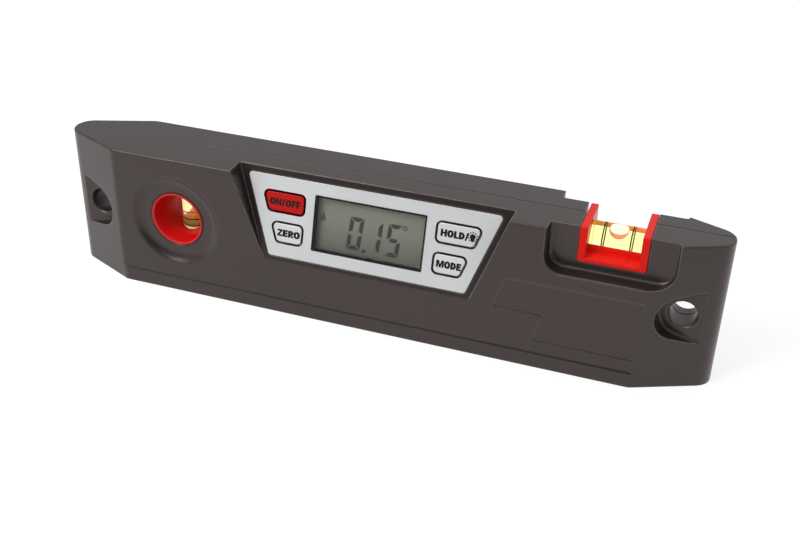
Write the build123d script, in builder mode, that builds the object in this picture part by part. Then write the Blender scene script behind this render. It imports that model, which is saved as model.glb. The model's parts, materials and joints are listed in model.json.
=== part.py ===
from build123d import *
import os
from math import cos, radians, sin, tan

# Digital spirit level: X along its length, front face towards -Y, standing on its lower edge at Z = 0

os.makedirs("parts", exist_ok=True)

# Body, in millimetres
length = 230.0
height = 50.8
depth = 28.2
parting = 1.5  # how far behind mid-depth the two casings meet
wall = 2.0
front_facet_angle = 24.2
rear_facet_angle = 21.2
nose_radius = 6.3
nose_offset = 0.33
end_block = 25.0  # solid length at each end, round the hanging hole
corner_round = 4.0  # where a slanted end face meets the long face
rail_height = 4.8
rail_proud = 0.4
rail_ramp = 1.0
rail_ramp_angle = 24.0
edge_round = 0.5
seam_groove = 0.3
recess_draft = 3.0
recess_rim = 0.4  # chamfer round the mouth of a recess
rim_angle = 45.0
rib_thickness = 1.2
rib_height = 2.5
rib_pitch = 22.0
rib_count = 8
tongue_length = 14.0
tongue_thickness = 1.0
tongue_reach = 1.5
tongue_gap = 0.1
tongue_pitch = 44.0
tongue_count = 4

# Hanging holes and the fan-shaped recess round each
hole_inset = 11.6
hole_radius = 4.5
hole_rim = 0.4
fan_radius = 7.6
fan_spread = 15.0
fan_floor = 6.0  # distance of the recess floor from mid-depth
fan_fillet = 0.8

# Level vial: a red carrier in a notch in the top edge, with a recess in each face
vial_inset = 35.0
bay_width = 39.6
bay_height = 14.9
bay_corner = 5.5
bay_floor = 8.65
bay_fillet = 1.1
rear_bay_drop = 2.0  # the rear recess reaches lower, so that the background shows through the vial
carrier_width = 21.4
carrier_corner = 1.0
carrier_proud = 0.4
carrier_round = 0.25
ear_thickness = 2.4
lip_height = 1.3
cradle_height = 4.4
cradle_floor = 0.7  # what is left of the carrier under the vial
rear_floor = 0.3  # the floor falls to this at the rear
cradle_side = 0.25
cradle_back = 2.8  # reach of the cradle behind the vial's axis; only the floor goes on, so light comes through
trough_rise = 1.1
carrier_rib = 1.0
carrier_rib_height = 6.0
carrier_gap = 0.12
rear_notch_gap = 0.8
vial_radius = 4.7
vial_drop = 6.6  # axis of the level vial below the top face
vial_bore = 3.8
vial_end = 1.3
bubble_radius = 3.0
bubble_rise = 2.3
bubble_gap = 0.15
saddle_gap = 0.02

# Plumb vial: a round sight port with a two-part red sleeve
port_inset = 45.7
port_lift = 2.2  # port centre above mid-height
dish_radius = 16.4
dish_flat_radius = 12.7
dish_depth = 1.6
dish_sag = 1.25
sleeve_radius = 9.7
sleeve_mouth = 9.1
sleeve_waist = 7.6
sleeve_gap = 0.1
sleeve_seat = 1.8
sleeve_proud = 0.2
funnel_start = 6.5
funnel_curve = 12.0
plumb_radius = 4.5
plumb_length = 17.0
plumb_bore = 3.3
plug_height = 1.8
plumb_bubble_height = 3.2

# Display recess: a slope that leaves the front face low down and opens through the top face
display_x = 0.7
slope_foot = 15.6
slope_out = 1.18  # reach of the slope's foot past the front face, so that it sinks in just under the panel
slope_tilt = 14.84
slope_half = 34.6
slope_side_angle = 20.0
panel_low = 6.5
panel_high = 34.0
panel_half = 34.7
panel_side_angle = 19.3
panel_corner = 1.2
panel_thickness = 0.8
pocket_depth = 0.6
panel_gap = 0.15
window_width = 38.8
window_height = 18.9
window_v = 20.2
window_corner = 0.5
window_ledge = 0.5

# Keys
key_inner = 23.0
key_margin = 4.1
key_rows = {"upper": (21.7, 28.7), "lower": (11.3, 18.3)}
key_corner = 1.7
key_gap = 0.75
key_proud = 0.15
key_flange = 0.9
key_flange_thickness = 1.0
key_rest_gap = 0.3
key_travel = 0.4
plunger_rest = 0.1
key_round = 0.2

# Electronics, stacked behind the sloping wall
gasket_thickness = 0.4
lcd_width = 42.6
lcd_height = 25.0
lcd_thickness = 2.0
lcd_ledge = 2.6
backlight_thickness = 1.8
backlight_tab = 3.0
strip_gap = 0.2
board_thickness = 1.6
board_low = 5.0
board_high = 34.0
board_half = 33.8
board_clear = 0.3
post_radius = 2.1
post_points = {"upper": (40.0, 31.4), "lower": (30.8, 7.8)}
switch_u = 29.0
switch_size = 6.0
switch_height = 2.2
plunger_radius = 1.7
plunger_gap = 0.15
switch_floor = 0.3
chip_height = 1.4
chip_size = 9.0
chip_u = 12.0
chip_v = 25.5
sensor_size = 4.0
sensor_height = 1.1

# Batteries, loaded from behind
cell_diameter = 10.5
cell_length = 43.7
cell_nub_radius = 1.9
cell_nub_length = 0.8
cell_gap = 0.2
cell_spacing = 0.6
bay_length = 52.0
bay_centre_z = 19.0
bay_wall = 2.0
contact_thickness = 0.4
contact_width = 8.0
contact_bend = 0.9
lead_radius = 0.5
lead_gap = 0.1
lead_bend = 1.5
lead_stub = 3.0  # straight length of a lead where it meets the board
lead_runs = {"positive": 4.0, "negative": 9.0}  # how far each lead goes past the battery bay
door_thickness = 1.8
door_lap = 1.6
door_gap = 0.25
door_corner = 2.0
door_tail = 8.4  # how far the door reaches past the battery bay, for its screw
door_screw_inset = 4.0
door_rib = 1.5
tray_floor = 1.2
grip_count = 4
grip_pitch = 2.0
grip_depth = 0.5

# Screws
upper_screw = (52.0, 6.3)  # from the middle, and below the top face
lower_screw = (42.0, 7.5)  # from the middle, and above the base
end_screw = (28.0, 8.5)  # from the end, and above the base
casing_screw_radius = 1.4
casing_screw_length = 12.0
casing_screw_spare = 1.0  # depth of the pilot hole past the screw's tip
casing_head_radius = 2.6
casing_head_height = 1.8
casing_screw_land = 4.0
boss_radius = 3.2
small_screw_radius = 0.85
small_head_radius = 1.8
small_head_height = 1.1
small_screw_length = 4.6
screw_gap = 0.08
head_gap = 0.25
slot_width = 0.7
slot_depth = 0.7

# Blank sunken pad on the front face, with a step in its lower left corner and open to the right
pad_depth = 0.3
pad_ramp = 60.0
pad_corner = 1.2
pad_high = 31.0
pad_step = 19.5
pad_low = 9.6
pad_left = 48.0
pad_step_left = 44.6
pad_step_right = 61.2
pad_low_left = 58.0
pad_overrun = 4.0  # past the corner of the end face

# Values that follow from the sizes above
half_length = length / 2
face = depth / 2
hole_x = half_length - hole_inset
mid_z = height / 2
vial_x = half_length - vial_inset
vial_z = height - vial_drop
carrier_height = vial_drop + vial_radius + cradle_floor
cradle_half = vial_radius + cradle_side
carrier_low = height - carrier_height
port_x = port_inset - half_length
port_z = mid_z + port_lift
cavity_half = half_length - end_block
door_seat = face - door_thickness
bay_y = door_seat - cell_diameter - 2 * cell_gap
cell_y = door_seat - cell_gap - cell_diameter / 2
cell_pitch = cell_diameter + cell_spacing
cells_height = cell_pitch + cell_diameter + 2 * cell_gap
gasket_w = -wall
lcd_w = gasket_w - gasket_thickness
backlight_w = lcd_w - lcd_thickness
board_w = backlight_w - backlight_thickness
board_back = board_w - board_thickness
key_face = panel_thickness - pocket_depth + key_proud
key_back = -wall - key_rest_gap - key_flange_thickness
plunger_foot = board_w + switch_floor + key_travel + plunger_rest

parting_plane = Plane.XZ.offset(-parting)
tilt = radians(slope_tilt)
display_plane = Plane(
    origin=(display_x, -face - slope_out, slope_foot), x_dir=(1, 0, 0), z_dir=(0, -cos(tilt), sin(tilt))
)
port_plane = Plane(origin=(port_x, 0, port_z))
port_axis = Axis((port_x, 0, port_z), (0, 1, 0))


def save(builder, name):
    builder.part.label = name
    export_step(builder.part, f"parts/{name}.step")


def end_points(angle, half_depth, side):
    # Corner where a slanted end face leaves the long face, and its tangent point on the nose
    slope = radians(angle)
    touch_x = half_length - nose_radius * (1 - sin(slope))
    touch_y = nose_offset + side * nose_radius * cos(slope)
    run = (half_depth - side * touch_y) / tan(slope)
    return (touch_x - run, side * half_depth), (touch_x, touch_y)


def body_plan(half_depth):
    # The body seen from above: a long hexagon with round noses
    front_corner, front_touch = end_points(front_facet_angle, half_depth, -1)
    rear_corner, rear_touch = end_points(rear_facet_angle, half_depth, 1)
    with BuildSketch() as plan:
        with BuildLine():
            Line((0, -half_depth), front_corner)
            Line(front_corner, front_touch)
            ThreePointArc(front_touch, (half_length, nose_offset), rear_touch)
            Line(rear_touch, rear_corner)
            Line(rear_corner, (0, half_depth))
            mirror(about=Plane.YZ)
        make_face()
        for row in (plan.vertices().group_by(Axis.Y)[0], plan.vertices().group_by(Axis.Y)[-1]):
            fillet([row.sort_by(Axis.X)[0], row.sort_by(Axis.X)[-1]], corner_round)
    return plan.sketch


def notch_outline(gap):
    # Seat of the vial carrier, open at the top
    width = carrier_width + 2 * gap
    with BuildSketch() as outline:
        with Locations((vial_x, carrier_low - gap)):
            Rectangle(width, height, align=(Align.CENTER, Align.MIN))
        fillet(outline.vertices().group_by(Axis.Y)[0], carrier_corner + gap)
    return outline.sketch


def bay_outline(drop, grow):
    # Round-cornered recess round the level vial, open at the top
    with BuildSketch() as outline:
        with Locations((vial_x, height - bay_height - drop - grow)):
            Rectangle(bay_width + 2 * grow, height, align=(Align.CENTER, Align.MIN))
        fillet(outline.vertices().group_by(Axis.Y)[0], bay_corner + grow)
    return outline.sketch


def fan_outline(side):
    # Circle round the hanging hole with two tangents that spread towards the end of the body
    spread = radians(fan_spread)
    reach = 2 * hole_inset
    start = (-fan_radius * sin(spread), fan_radius * cos(spread))
    finish = (start[0] + reach * cos(spread), start[1] + reach * sin(spread))
    with BuildSketch() as outline:
        with BuildLine():
            Line(start, finish)
            Line(finish, (finish[0], 0))
            ThreePointArc(start, (-fan_radius * cos(spread / 2), fan_radius * sin(spread / 2)), (-fan_radius, 0))
            mirror(about=Plane.XZ)
        make_face()
    turned = outline.sketch if side > 0 else outline.sketch.mirror(Plane.YZ)
    return turned.moved(Location((side * hole_x, mid_z)))


def slope_outline(grow):
    # Trapezoid of the display recess, wider towards the top and cut well past it
    top = 2 * height
    half = slope_half + grow
    with BuildSketch() as outline:
        with BuildLine():
            flare = top * tan(radians(slope_side_angle))
            Polyline((-half, -grow), (half, -grow), (half + flare, top), (-half - flare, top), close=True)
        make_face()
    return outline.sketch


def panel_edge(v):
    # Half width of the silver panel at a height v up the slope
    return panel_half + (v - panel_low) * tan(radians(panel_side_angle))


def panel_outline(grow):
    with BuildSketch() as outline:
        with BuildLine():
            low, high = panel_edge(panel_low), panel_edge(panel_high)
            Polyline((-low, panel_low), (low, panel_low), (high, panel_high), (-high, panel_high), close=True)
        make_face()
        fillet(outline.vertices(), panel_corner)
        offset(amount=grow)
    return outline.sketch


def window_outline(grow):
    with BuildSketch() as outline:
        with Locations((0, window_v)):
            RectangleRounded(window_width + 2 * grow, window_height + 2 * grow, window_corner)
    return outline.sketch


def key_outline(side, row, grow):
    # Four-sided key whose outer edge runs along the panel's slanted edge
    low, high = key_rows[row]
    outer_low = side * (panel_edge(low) - key_margin)
    outer_high = side * (panel_edge(high) - key_margin)
    inner = side * key_inner
    with BuildSketch() as outline:
        with BuildLine():
            Polyline((inner, low), (outer_low, low), (outer_high, high), (inner, high), close=True)
        make_face()
        fillet(outline.vertices(), key_corner)
        offset(amount=grow)
    return outline.sketch


def board_plan(grow):
    # Circuit board: the same trapezoid as the panel, a little smaller
    high = board_half + (board_high - board_low) * tan(radians(panel_side_angle))
    with BuildSketch() as outline:
        with BuildLine():
            Polyline(
                (-board_half, board_low), (board_half, board_low), (high, board_high), (-high, board_high), close=True
            )
        make_face()
        fillet(outline.vertices(), panel_corner)
        offset(amount=grow)
    return outline.sketch


def key_middle(row):
    return sum(key_rows[row]) / 2


def casing_screw_places():
    # Screw centres as (x, z): beside the display, under it, and near both ends
    spots = []
    for side in (-1, 1):
        spots.append((side * upper_screw[0], height - upper_screw[1]))
        spots.append((side * lower_screw[0], lower_screw[1]))
        spots.append((side * (half_length - end_screw[0]), end_screw[1]))
    return spots


def post_places():
    return [(side * u, v) for u, v in post_points.values() for side in (-1, 1)]


keys = {
    "on_off": (-1, "upper"),
    "zero": (-1, "lower"),
    "hold_light": (1, "upper"),
    "mode": (1, "lower"),
}
switch_places = {name: (side * switch_u, key_middle(row)) for name, (side, row) in keys.items()}



def bay_recess(drop):
    # Drafted recess with a round foot and a chamfered mouth
    floor_outline = bay_outline(drop, 0)
    mouth_outline = bay_outline(drop, (face - recess_rim - bay_floor) * tan(radians(recess_draft)))
    with BuildPart() as recess:
        with BuildSketch(Plane.XZ.offset(bay_floor)):
            add(floor_outline)
        extrude(amount=face, taper=-recess_draft)
        fillet(recess.edges().group_by(Axis.Y)[-1], bay_fillet)
        with BuildSketch(Plane.XZ.offset(face - recess_rim)):
            add(mouth_outline)
        extrude(amount=wall, taper=-rim_angle)
    return recess.part


# Recesses of the front face; the rear face has the same ones mirrored, with a taller one round the vial
front_bay = bay_recess(0)
rear_bay = bay_recess(rear_bay_drop)
fans = [fan_outline(side) for side in (-1, 1)]
with BuildPart() as fan_cutter:
    with BuildSketch(Plane.XZ.offset(fan_floor)):
        add(fans)
    extrude(amount=face, taper=-recess_draft)
    fillet(fan_cutter.edges().group_by(Axis.Y)[-1], fan_fillet)
    with BuildSketch(Plane.XZ.offset(fan_floor)):
        with Locations((-hole_x, mid_z), (hole_x, mid_z)):
            Circle(hole_radius + hole_rim)
    extrude(amount=-hole_rim, taper=rim_angle)

with BuildPart() as recesses:
    add(fan_cutter.part)
    with BuildSketch(port_plane):
        with BuildLine():
            middle = (dish_radius + dish_flat_radius) / 2
            Polyline((dish_flat_radius, dish_depth - face), (0, dish_depth - face), (0, -depth))
            Polyline((0, -depth), (dish_radius, -depth), (dish_radius, -face))
            ThreePointArc((dish_radius, -face), (middle, dish_sag - face), (dish_flat_radius, dish_depth - face))
        make_face()
    revolve(axis=port_axis)

# Whole body with every opening that both casings share
body_outline = body_plan(face)
rail_outline = body_plan(face + rail_proud)
notch = notch_outline(carrier_gap)
with BuildPart() as blank:
    with BuildSketch():
        add(body_outline)
    extrude(amount=height)
    fillet(blank.edges().group_by(Axis.Z)[-1], edge_round)
    with BuildSketch():
        add(rail_outline)
    extrude(amount=rail_height)
    with BuildSketch(Plane.XY.offset(rail_height)):
        add(rail_outline)
    extrude(amount=rail_ramp, taper=rail_ramp_angle)
    add(front_bay, mode=Mode.SUBTRACT)
    mirror(rear_bay, about=Plane.XZ, mode=Mode.SUBTRACT)
    add(recesses.part, mode=Mode.SUBTRACT)
    mirror(recesses.part, about=Plane.XZ, mode=Mode.SUBTRACT)
    with BuildSketch(Plane.XZ):
        add(notch)
        with Locations((-hole_x, mid_z), (hole_x, mid_z)):
            Circle(hole_radius)
        with Locations((port_x, port_z)):
            Circle(sleeve_radius + sleeve_gap)
    extrude(amount=depth, both=True, mode=Mode.SUBTRACT)
    with BuildSketch(parting_plane):
        with Locations((vial_x, height - carrier_height / 2)):
            Rectangle(carrier_width + 2 * (carrier_rib + carrier_gap), carrier_rib_height + 2 * carrier_gap)
    extrude(amount=carrier_rib + carrier_gap, both=True, mode=Mode.SUBTRACT)

# Places inside the casings that stay solid: walls of the vial bays, notch and port, and the screw bosses
bay_walls = {1: bay_outline(0, wall), -1: bay_outline(rear_bay_drop, wall)}
notch_walls = notch_outline(carrier_gap + carrier_rib + wall)
with BuildPart() as solid_zones:
    for side, bay_wall_outline in bay_walls.items():
        with BuildSketch(Plane.XZ.offset(side * (bay_floor - wall))):
            add(bay_wall_outline)
        extrude(amount=side * depth)
    with BuildSketch(Plane.XZ):
        add(notch_walls)
        with Locations((port_x, port_z)):
            Circle(sleeve_radius + sleeve_gap + sleeve_seat)
        with Locations(*casing_screw_places()):
            Circle(boss_radius)
    extrude(amount=depth, both=True)
    for side in (-1, 1):
        with BuildSketch(Plane.XZ.offset(side * (face - dish_depth - wall))):
            with Locations((port_x, port_z)):
                Circle(dish_radius + wall)
        extrude(amount=side * depth)

# Hollow of the front casing, behind its sloping display wall
slope_walls = slope_outline(wall)
with BuildPart() as front_hollow:
    with BuildSketch(Plane.XY.offset(wall)):
        with Locations((0, parting)):
            Rectangle(2 * cavity_half, face + parting - wall, align=(Align.CENTER, Align.MAX))
    extrude(amount=height - 2 * wall)
    add(solid_zones.part, mode=Mode.SUBTRACT)
    with BuildSketch(display_plane.offset(-wall)):
        add(slope_walls)
    extrude(amount=depth, mode=Mode.SUBTRACT)
    with BuildSketch(display_plane.offset(board_w)):
        with Locations(*post_places()):
            Circle(post_radius)
    extrude(amount=depth, mode=Mode.SUBTRACT)
    with BuildSketch(Plane.XZ.offset(face - wall - rib_height)):
        with GridLocations(rib_pitch, 0, rib_count, 1):
            Rectangle(rib_thickness, slope_foot, align=(Align.CENTER, Align.MIN))
    extrude(amount=depth, mode=Mode.SUBTRACT)

# Front casing
slope = slope_outline(0)
panel_pocket = panel_outline(panel_gap)
window_opening = window_outline(-window_ledge)
key_openings = [key_outline(side, row, key_gap / 2) for side, row in keys.values()]
pad_right = end_points(front_facet_angle, face, -1)[0][0] + pad_overrun
pad_points = [
    (pad_left, pad_high),
    (pad_step_left, pad_step),
    (pad_step_right, pad_step),
    (pad_low_left, pad_low),
    (pad_right, pad_low),
    (pad_right, pad_high),
]
with BuildPart() as front_casing:
    add(blank.part)
    split(bisect_by=parting_plane, keep=Keep.TOP)
    with BuildSketch(display_plane):
        add(slope)
    extrude(amount=depth, taper=-recess_draft, mode=Mode.SUBTRACT)
    with BuildSketch(Plane.XZ.offset(face)) as pad:
        with BuildLine():
            Polyline(*pad_points, close=True)
        make_face()
        fillet(pad.vertices(), pad_corner)
    extrude(amount=-pad_depth, taper=pad_ramp, mode=Mode.SUBTRACT)
    add(front_hollow.part, mode=Mode.SUBTRACT)
    with BuildSketch(display_plane):
        add(panel_pocket)
    extrude(amount=-pocket_depth, mode=Mode.SUBTRACT)
    with BuildSketch(display_plane):
        add(window_opening)
        add(key_openings)
    extrude(amount=-2 * wall, mode=Mode.SUBTRACT)
    with BuildSketch(display_plane.offset(board_w)):
        with Locations(*post_places()):
            Circle(small_screw_radius + screw_gap)
    extrude(amount=small_screw_length - board_thickness, mode=Mode.SUBTRACT)
    with BuildSketch(parting_plane):
        with Locations(*casing_screw_places()):
            Circle(casing_screw_radius + screw_gap)
    extrude(amount=casing_screw_length - casing_screw_land + casing_screw_spare, mode=Mode.SUBTRACT)
    with BuildSketch(parting_plane):
        with Locations((0, wall)):
            with GridLocations(tongue_pitch, 0, tongue_count, 1):
                Rectangle(tongue_length, tongue_gap + tongue_thickness, align=(Align.CENTER, Align.MIN))
    extrude(amount=tongue_reach)
    with BuildSketch(parting_plane):
        with Locations((0, wall + tongue_gap)):
            with GridLocations(tongue_pitch, 0, tongue_count, 1):
                Rectangle(tongue_length, tongue_thickness, align=(Align.CENTER, Align.MIN))
    extrude(amount=-tongue_reach)
save(front_casing, "front_casing")

# Hollow of the rear casing, with the battery bay's walls left standing in it
door_right = bay_length / 2 + door_tail
door_middle = (door_right - bay_length / 2 - door_lap) / 2
door_width = door_right + bay_length / 2 + door_lap
door_height = cells_height + 2 * door_lap
door_screw_x = door_right - door_screw_inset
with BuildPart() as rear_hollow:
    with BuildSketch(Plane.XY.offset(wall)):
        with Locations((0, parting)):
            Rectangle(2 * cavity_half, face - parting - wall, align=(Align.CENTER, Align.MIN))
    extrude(amount=height - 2 * wall)
    add(solid_zones.part, mode=Mode.SUBTRACT)
    with BuildSketch(Plane.XZ):
        with Locations((0, bay_centre_z)):
            Rectangle(bay_length + 2 * bay_wall, cells_height + 2 * bay_wall)
        with Locations((door_screw_x, bay_centre_z)):
            Circle(boss_radius)
    extrude(amount=-depth, mode=Mode.SUBTRACT)
    with BuildSketch(Plane.XZ.offset(bay_wall - door_seat)):
        with Locations((door_middle, bay_centre_z)):
            Rectangle(door_width + 2 * bay_wall, door_height + 2 * bay_wall)
    extrude(amount=-depth, mode=Mode.SUBTRACT)

# Rear casing
chip_spot = (-chip_u, chip_v)
cell_spots = {"positive": bay_centre_z + cell_pitch / 2, "negative": bay_centre_z - cell_pitch / 2}
lead_spots = [(cell_y, spot) for spot in cell_spots.values()]
board_outline = board_plan(board_clear)
with BuildPart() as rear_casing:
    add(blank.part)
    split(bisect_by=parting_plane, keep=Keep.BOTTOM)
    add(rear_hollow.part, mode=Mode.SUBTRACT)
    with BuildSketch(Plane.XZ.offset(tray_floor - bay_y)):
        with Locations((0, bay_centre_z)):
            Rectangle(bay_length + 2 * bay_wall, cells_height + 2 * bay_wall)
    extrude(amount=bay_y - tray_floor - door_seat)
    with BuildSketch(display_plane.offset(board_back - board_clear)):
        add(board_outline)
    extrude(amount=depth, mode=Mode.SUBTRACT)
    with BuildSketch(display_plane.offset(board_back - chip_height - board_clear)):
        with Locations(chip_spot):
            Rectangle(chip_size + 2 * board_clear, chip_size + 2 * board_clear)
    extrude(amount=depth, mode=Mode.SUBTRACT)
    with BuildSketch(Plane.YZ.offset(bay_length / 2)):
        with Locations(*lead_spots):
            Circle(lead_radius + lead_gap)
    extrude(amount=bay_wall, mode=Mode.SUBTRACT)
    with BuildSketch(Plane.XZ.offset(-bay_y)):
        with Locations((0, bay_centre_z)):
            Rectangle(bay_length, cells_height)
    extrude(amount=-depth, mode=Mode.SUBTRACT)
    with BuildSketch(Plane.XZ.offset(-door_seat)):
        with Locations((door_middle, bay_centre_z)):
            RectangleRounded(door_width + 2 * door_gap, door_height + 2 * door_gap, door_corner + door_gap)
    extrude(amount=-depth, mode=Mode.SUBTRACT)
    with BuildSketch(Plane.XZ.offset(-door_seat)):
        with Locations((door_screw_x, bay_centre_z)):
            Circle(small_screw_radius + screw_gap)
    extrude(amount=small_screw_length, mode=Mode.SUBTRACT)
    with BuildSketch(Plane.XZ):
        with Locations(*casing_screw_places()):
            Circle(casing_screw_radius + head_gap)
    extrude(amount=-depth, mode=Mode.SUBTRACT)
    with BuildSketch(Plane.XZ.offset(-parting - casing_screw_land)):
        with Locations(*casing_screw_places()):
            Circle(casing_head_radius + head_gap)
    extrude(amount=-depth, mode=Mode.SUBTRACT)
    with BuildSketch(parting_plane):
        Rectangle(2 * length, 4 * height)
        with Locations((0, mid_z)):
            Rectangle(length - 2 * seam_groove, height - 2 * seam_groove, mode=Mode.SUBTRACT)
        with Locations((-hole_x, mid_z), (hole_x, mid_z)):
            Circle(hole_radius + seam_groove)
    extrude(amount=-seam_groove, mode=Mode.SUBTRACT)
    with BuildSketch(Plane.XZ):
        with Locations((vial_x + carrier_width / 2, carrier_low)):
            Rectangle(carrier_width + rear_notch_gap, height, align=(Align.MAX, Align.MIN))
    extrude(amount=-depth, mode=Mode.SUBTRACT)
save(rear_casing, "rear_casing")

# Silver panel, its window and the display stack behind it
panel_face = panel_outline(0)
panel_window = window_outline(panel_gap)
with BuildPart() as fascia_panel:
    with BuildSketch(display_plane.offset(-pocket_depth)):
        add(panel_face)
        add(panel_window, mode=Mode.SUBTRACT)
        add(key_openings, mode=Mode.SUBTRACT)
    extrude(amount=panel_thickness)
save(fascia_panel, "fascia_panel")

window_face = window_outline(0)
with BuildPart() as display_window:
    with BuildSketch(display_plane.offset(-pocket_depth)):
        add(window_face)
    extrude(amount=panel_thickness)
save(display_window, "display_window")

with BuildPart() as display_gasket:
    with BuildSketch(display_plane.offset(gasket_w)):
        with Locations((0, window_v)):
            Rectangle(lcd_width, lcd_height)
            Rectangle(window_width, window_height, mode=Mode.SUBTRACT)
    extrude(amount=-gasket_thickness)
save(display_gasket, "display_gasket")

lcd_low = window_v - lcd_height / 2
lcd_top = window_v + lcd_height / 2
lcd_plate = lcd_thickness / 2
with BuildPart() as display_glass:
    with BuildSketch(display_plane.offset(lcd_w)):
        with Locations((0, window_v)):
            Rectangle(lcd_width, lcd_height)
    extrude(amount=-lcd_plate)
    with BuildSketch(display_plane.offset(lcd_w - lcd_plate)):
        with Locations((0, lcd_top)):
            Rectangle(lcd_width, lcd_height - lcd_ledge, align=(Align.CENTER, Align.MAX))
    extrude(amount=-lcd_plate)
save(display_glass, "display_glass")

with BuildPart() as display_backlight:
    with BuildSketch(display_plane.offset(backlight_w)):
        with Locations((0, lcd_top)):
            Rectangle(lcd_width, lcd_height - lcd_ledge, align=(Align.CENTER, Align.MAX))
        with Locations((lcd_width / 2, window_v + strip_gap)):
            Rectangle(backlight_tab, backlight_tab, align=(Align.MIN, Align.CENTER))
    extrude(amount=-backlight_thickness)
save(display_backlight, "display_backlight")

with BuildPart() as display_contact_strip:
    with BuildSketch(display_plane.offset(board_w)):
        with Locations((0, lcd_low + strip_gap)):
            Rectangle(lcd_width, lcd_ledge - 2 * strip_gap, align=(Align.CENTER, Align.MIN))
    extrude(amount=backlight_thickness + lcd_plate)
save(display_contact_strip, "display_contact_strip")

# Circuit board with what is soldered to it
board_face = board_plan(0)
with BuildPart() as circuit_board:
    with BuildSketch(display_plane.offset(board_w)):
        add(board_face)
        with Locations(*post_places()):
            Circle(small_screw_radius + head_gap, mode=Mode.SUBTRACT)
    extrude(amount=-board_thickness)
save(circuit_board, "circuit_board")

with BuildPart() as controller_chip:
    with BuildSketch(display_plane.offset(board_back)):
        with Locations(chip_spot):
            Rectangle(chip_size, chip_size)
    extrude(amount=-chip_height)
save(controller_chip, "controller_chip")

with BuildPart() as tilt_sensor:
    with BuildSketch(display_plane.offset(board_back)):
        with Locations((chip_u, chip_v)):
            Rectangle(sensor_size, sensor_size)
    extrude(amount=-sensor_height)
save(tilt_sensor, "tilt_sensor")

with BuildPart() as switch_bodies:
    with BuildSketch(display_plane.offset(board_w)):
        with Locations(*switch_places.values()):
            Rectangle(switch_size, switch_size)
    extrude(amount=switch_height)
    with BuildSketch(display_plane.offset(board_w + switch_floor)):
        with Locations(*switch_places.values()):
            Circle(plunger_radius + plunger_gap)
    extrude(amount=switch_height, mode=Mode.SUBTRACT)
save(switch_bodies, "switch_bodies")

# Keys, each held in by a flange behind the sloping wall, and the switch plunger each one presses
key_normal = Axis(display_plane.origin, display_plane.z_dir)
for name, (side, row) in keys.items():
    cap = key_outline(side, row, -key_gap / 2)
    flange = key_outline(side, row, key_flange)
    with BuildPart() as key:
        with BuildSketch(display_plane.offset(key_back)):
            add(cap)
        extrude(amount=key_face - key_back)
        chamfer(key.faces().sort_by(key_normal)[-1].edges(), key_round)
        with BuildSketch(display_plane.offset(key_back)):
            add(flange)
        extrude(amount=key_flange_thickness)
    save(key, f"key_{name}")

    with BuildPart() as plunger:
        with BuildSketch(display_plane.offset(key_back)):
            with Locations(switch_places[name]):
                Circle(plunger_radius)
        extrude(amount=plunger_foot - key_back)
    save(plunger, f"switch_plunger_{name}")

with BuildPart() as board_screws:
    with BuildSketch(display_plane.offset(board_back)):
        with Locations(*post_places()):
            Circle(small_head_radius)
    extrude(amount=-small_head_height)
    with BuildSketch(display_plane.offset(board_back)):
        with Locations(*post_places()):
            Circle(small_screw_radius)
    extrude(amount=small_screw_length)
    with BuildSketch(display_plane.offset(board_back - small_head_height)):
        with Locations(*post_places()):
            Rectangle(2 * small_head_radius, slot_width)
    extrude(amount=slot_depth, mode=Mode.SUBTRACT)
save(board_screws, "board_screws")

with BuildPart() as casing_screws:
    with BuildSketch(Plane.XZ.offset(-parting - casing_screw_land)):
        with Locations(*casing_screw_places()):
            Circle(casing_head_radius)
    extrude(amount=-casing_head_height)
    with BuildSketch(Plane.XZ.offset(-parting - casing_screw_land)):
        with Locations(*casing_screw_places()):
            Circle(casing_screw_radius)
    extrude(amount=casing_screw_length)
    with BuildSketch(Plane.XZ.offset(-parting - casing_screw_land - casing_head_height)):
        with Locations(*casing_screw_places()):
            Rectangle(2 * small_head_radius, slot_width)
            Rectangle(slot_width, 2 * small_head_radius)
    extrude(amount=slot_depth, mode=Mode.SUBTRACT)
save(casing_screws, "casing_screws")

# Two cells side by side, turned opposite ways, and their leaf contacts
cell_reach = (cell_length + cell_nub_length) / 2
for name, side in (("upper", 1), ("lower", -1)):
    spot = (cell_y, bay_centre_z + side * cell_pitch / 2)
    with BuildPart() as cell:
        with BuildSketch(Plane.YZ.offset(-side * cell_reach)):
            with Locations(spot):
                Circle(cell_diameter / 2)
        extrude(amount=side * cell_length)
        with BuildSketch(Plane.YZ.offset(side * cell_reach)):
            with Locations(spot):
                Circle(cell_nub_radius)
        extrude(amount=-side * 2 * cell_nub_length)
    save(cell, f"battery_cell_{name}")


def contact_leaf(side):
    # Hairpin of thin strip: flat against the end of the bay, then bowed out to the end of a cell
    back = side * (bay_length - contact_thickness) / 2
    tip = side * (cell_reach + contact_thickness / 2)
    middle = side * (cell_reach + (bay_length / 2 - cell_reach) / 2)
    with BuildSketch() as leaf:
        with BuildLine():
            FilletPolyline(
                (back, door_seat - 2 * contact_thickness),
                (back, bay_y + contact_bend),
                (tip, cell_y),
                (middle, door_seat - 4 * contact_thickness),
                radius=contact_bend,
            )
        trace(line_width=contact_thickness)
    return leaf.sketch


bridge_leaf = contact_leaf(-1)
with BuildPart() as battery_bridge_contact:
    with BuildSketch(Plane.XY.offset(bay_centre_z)):
        add(bridge_leaf)
    extrude(amount=(cell_pitch + contact_width) / 2, both=True)
save(battery_bridge_contact, "battery_bridge_contact")

single_leaf = contact_leaf(1)
for name, spot in cell_spots.items():
    with BuildPart() as contact:
        with BuildSketch(Plane.XY.offset(spot)):
            add(single_leaf)
        extrude(amount=contact_width / 2, both=True)
    save(contact, f"battery_{name}_contact")

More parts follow.
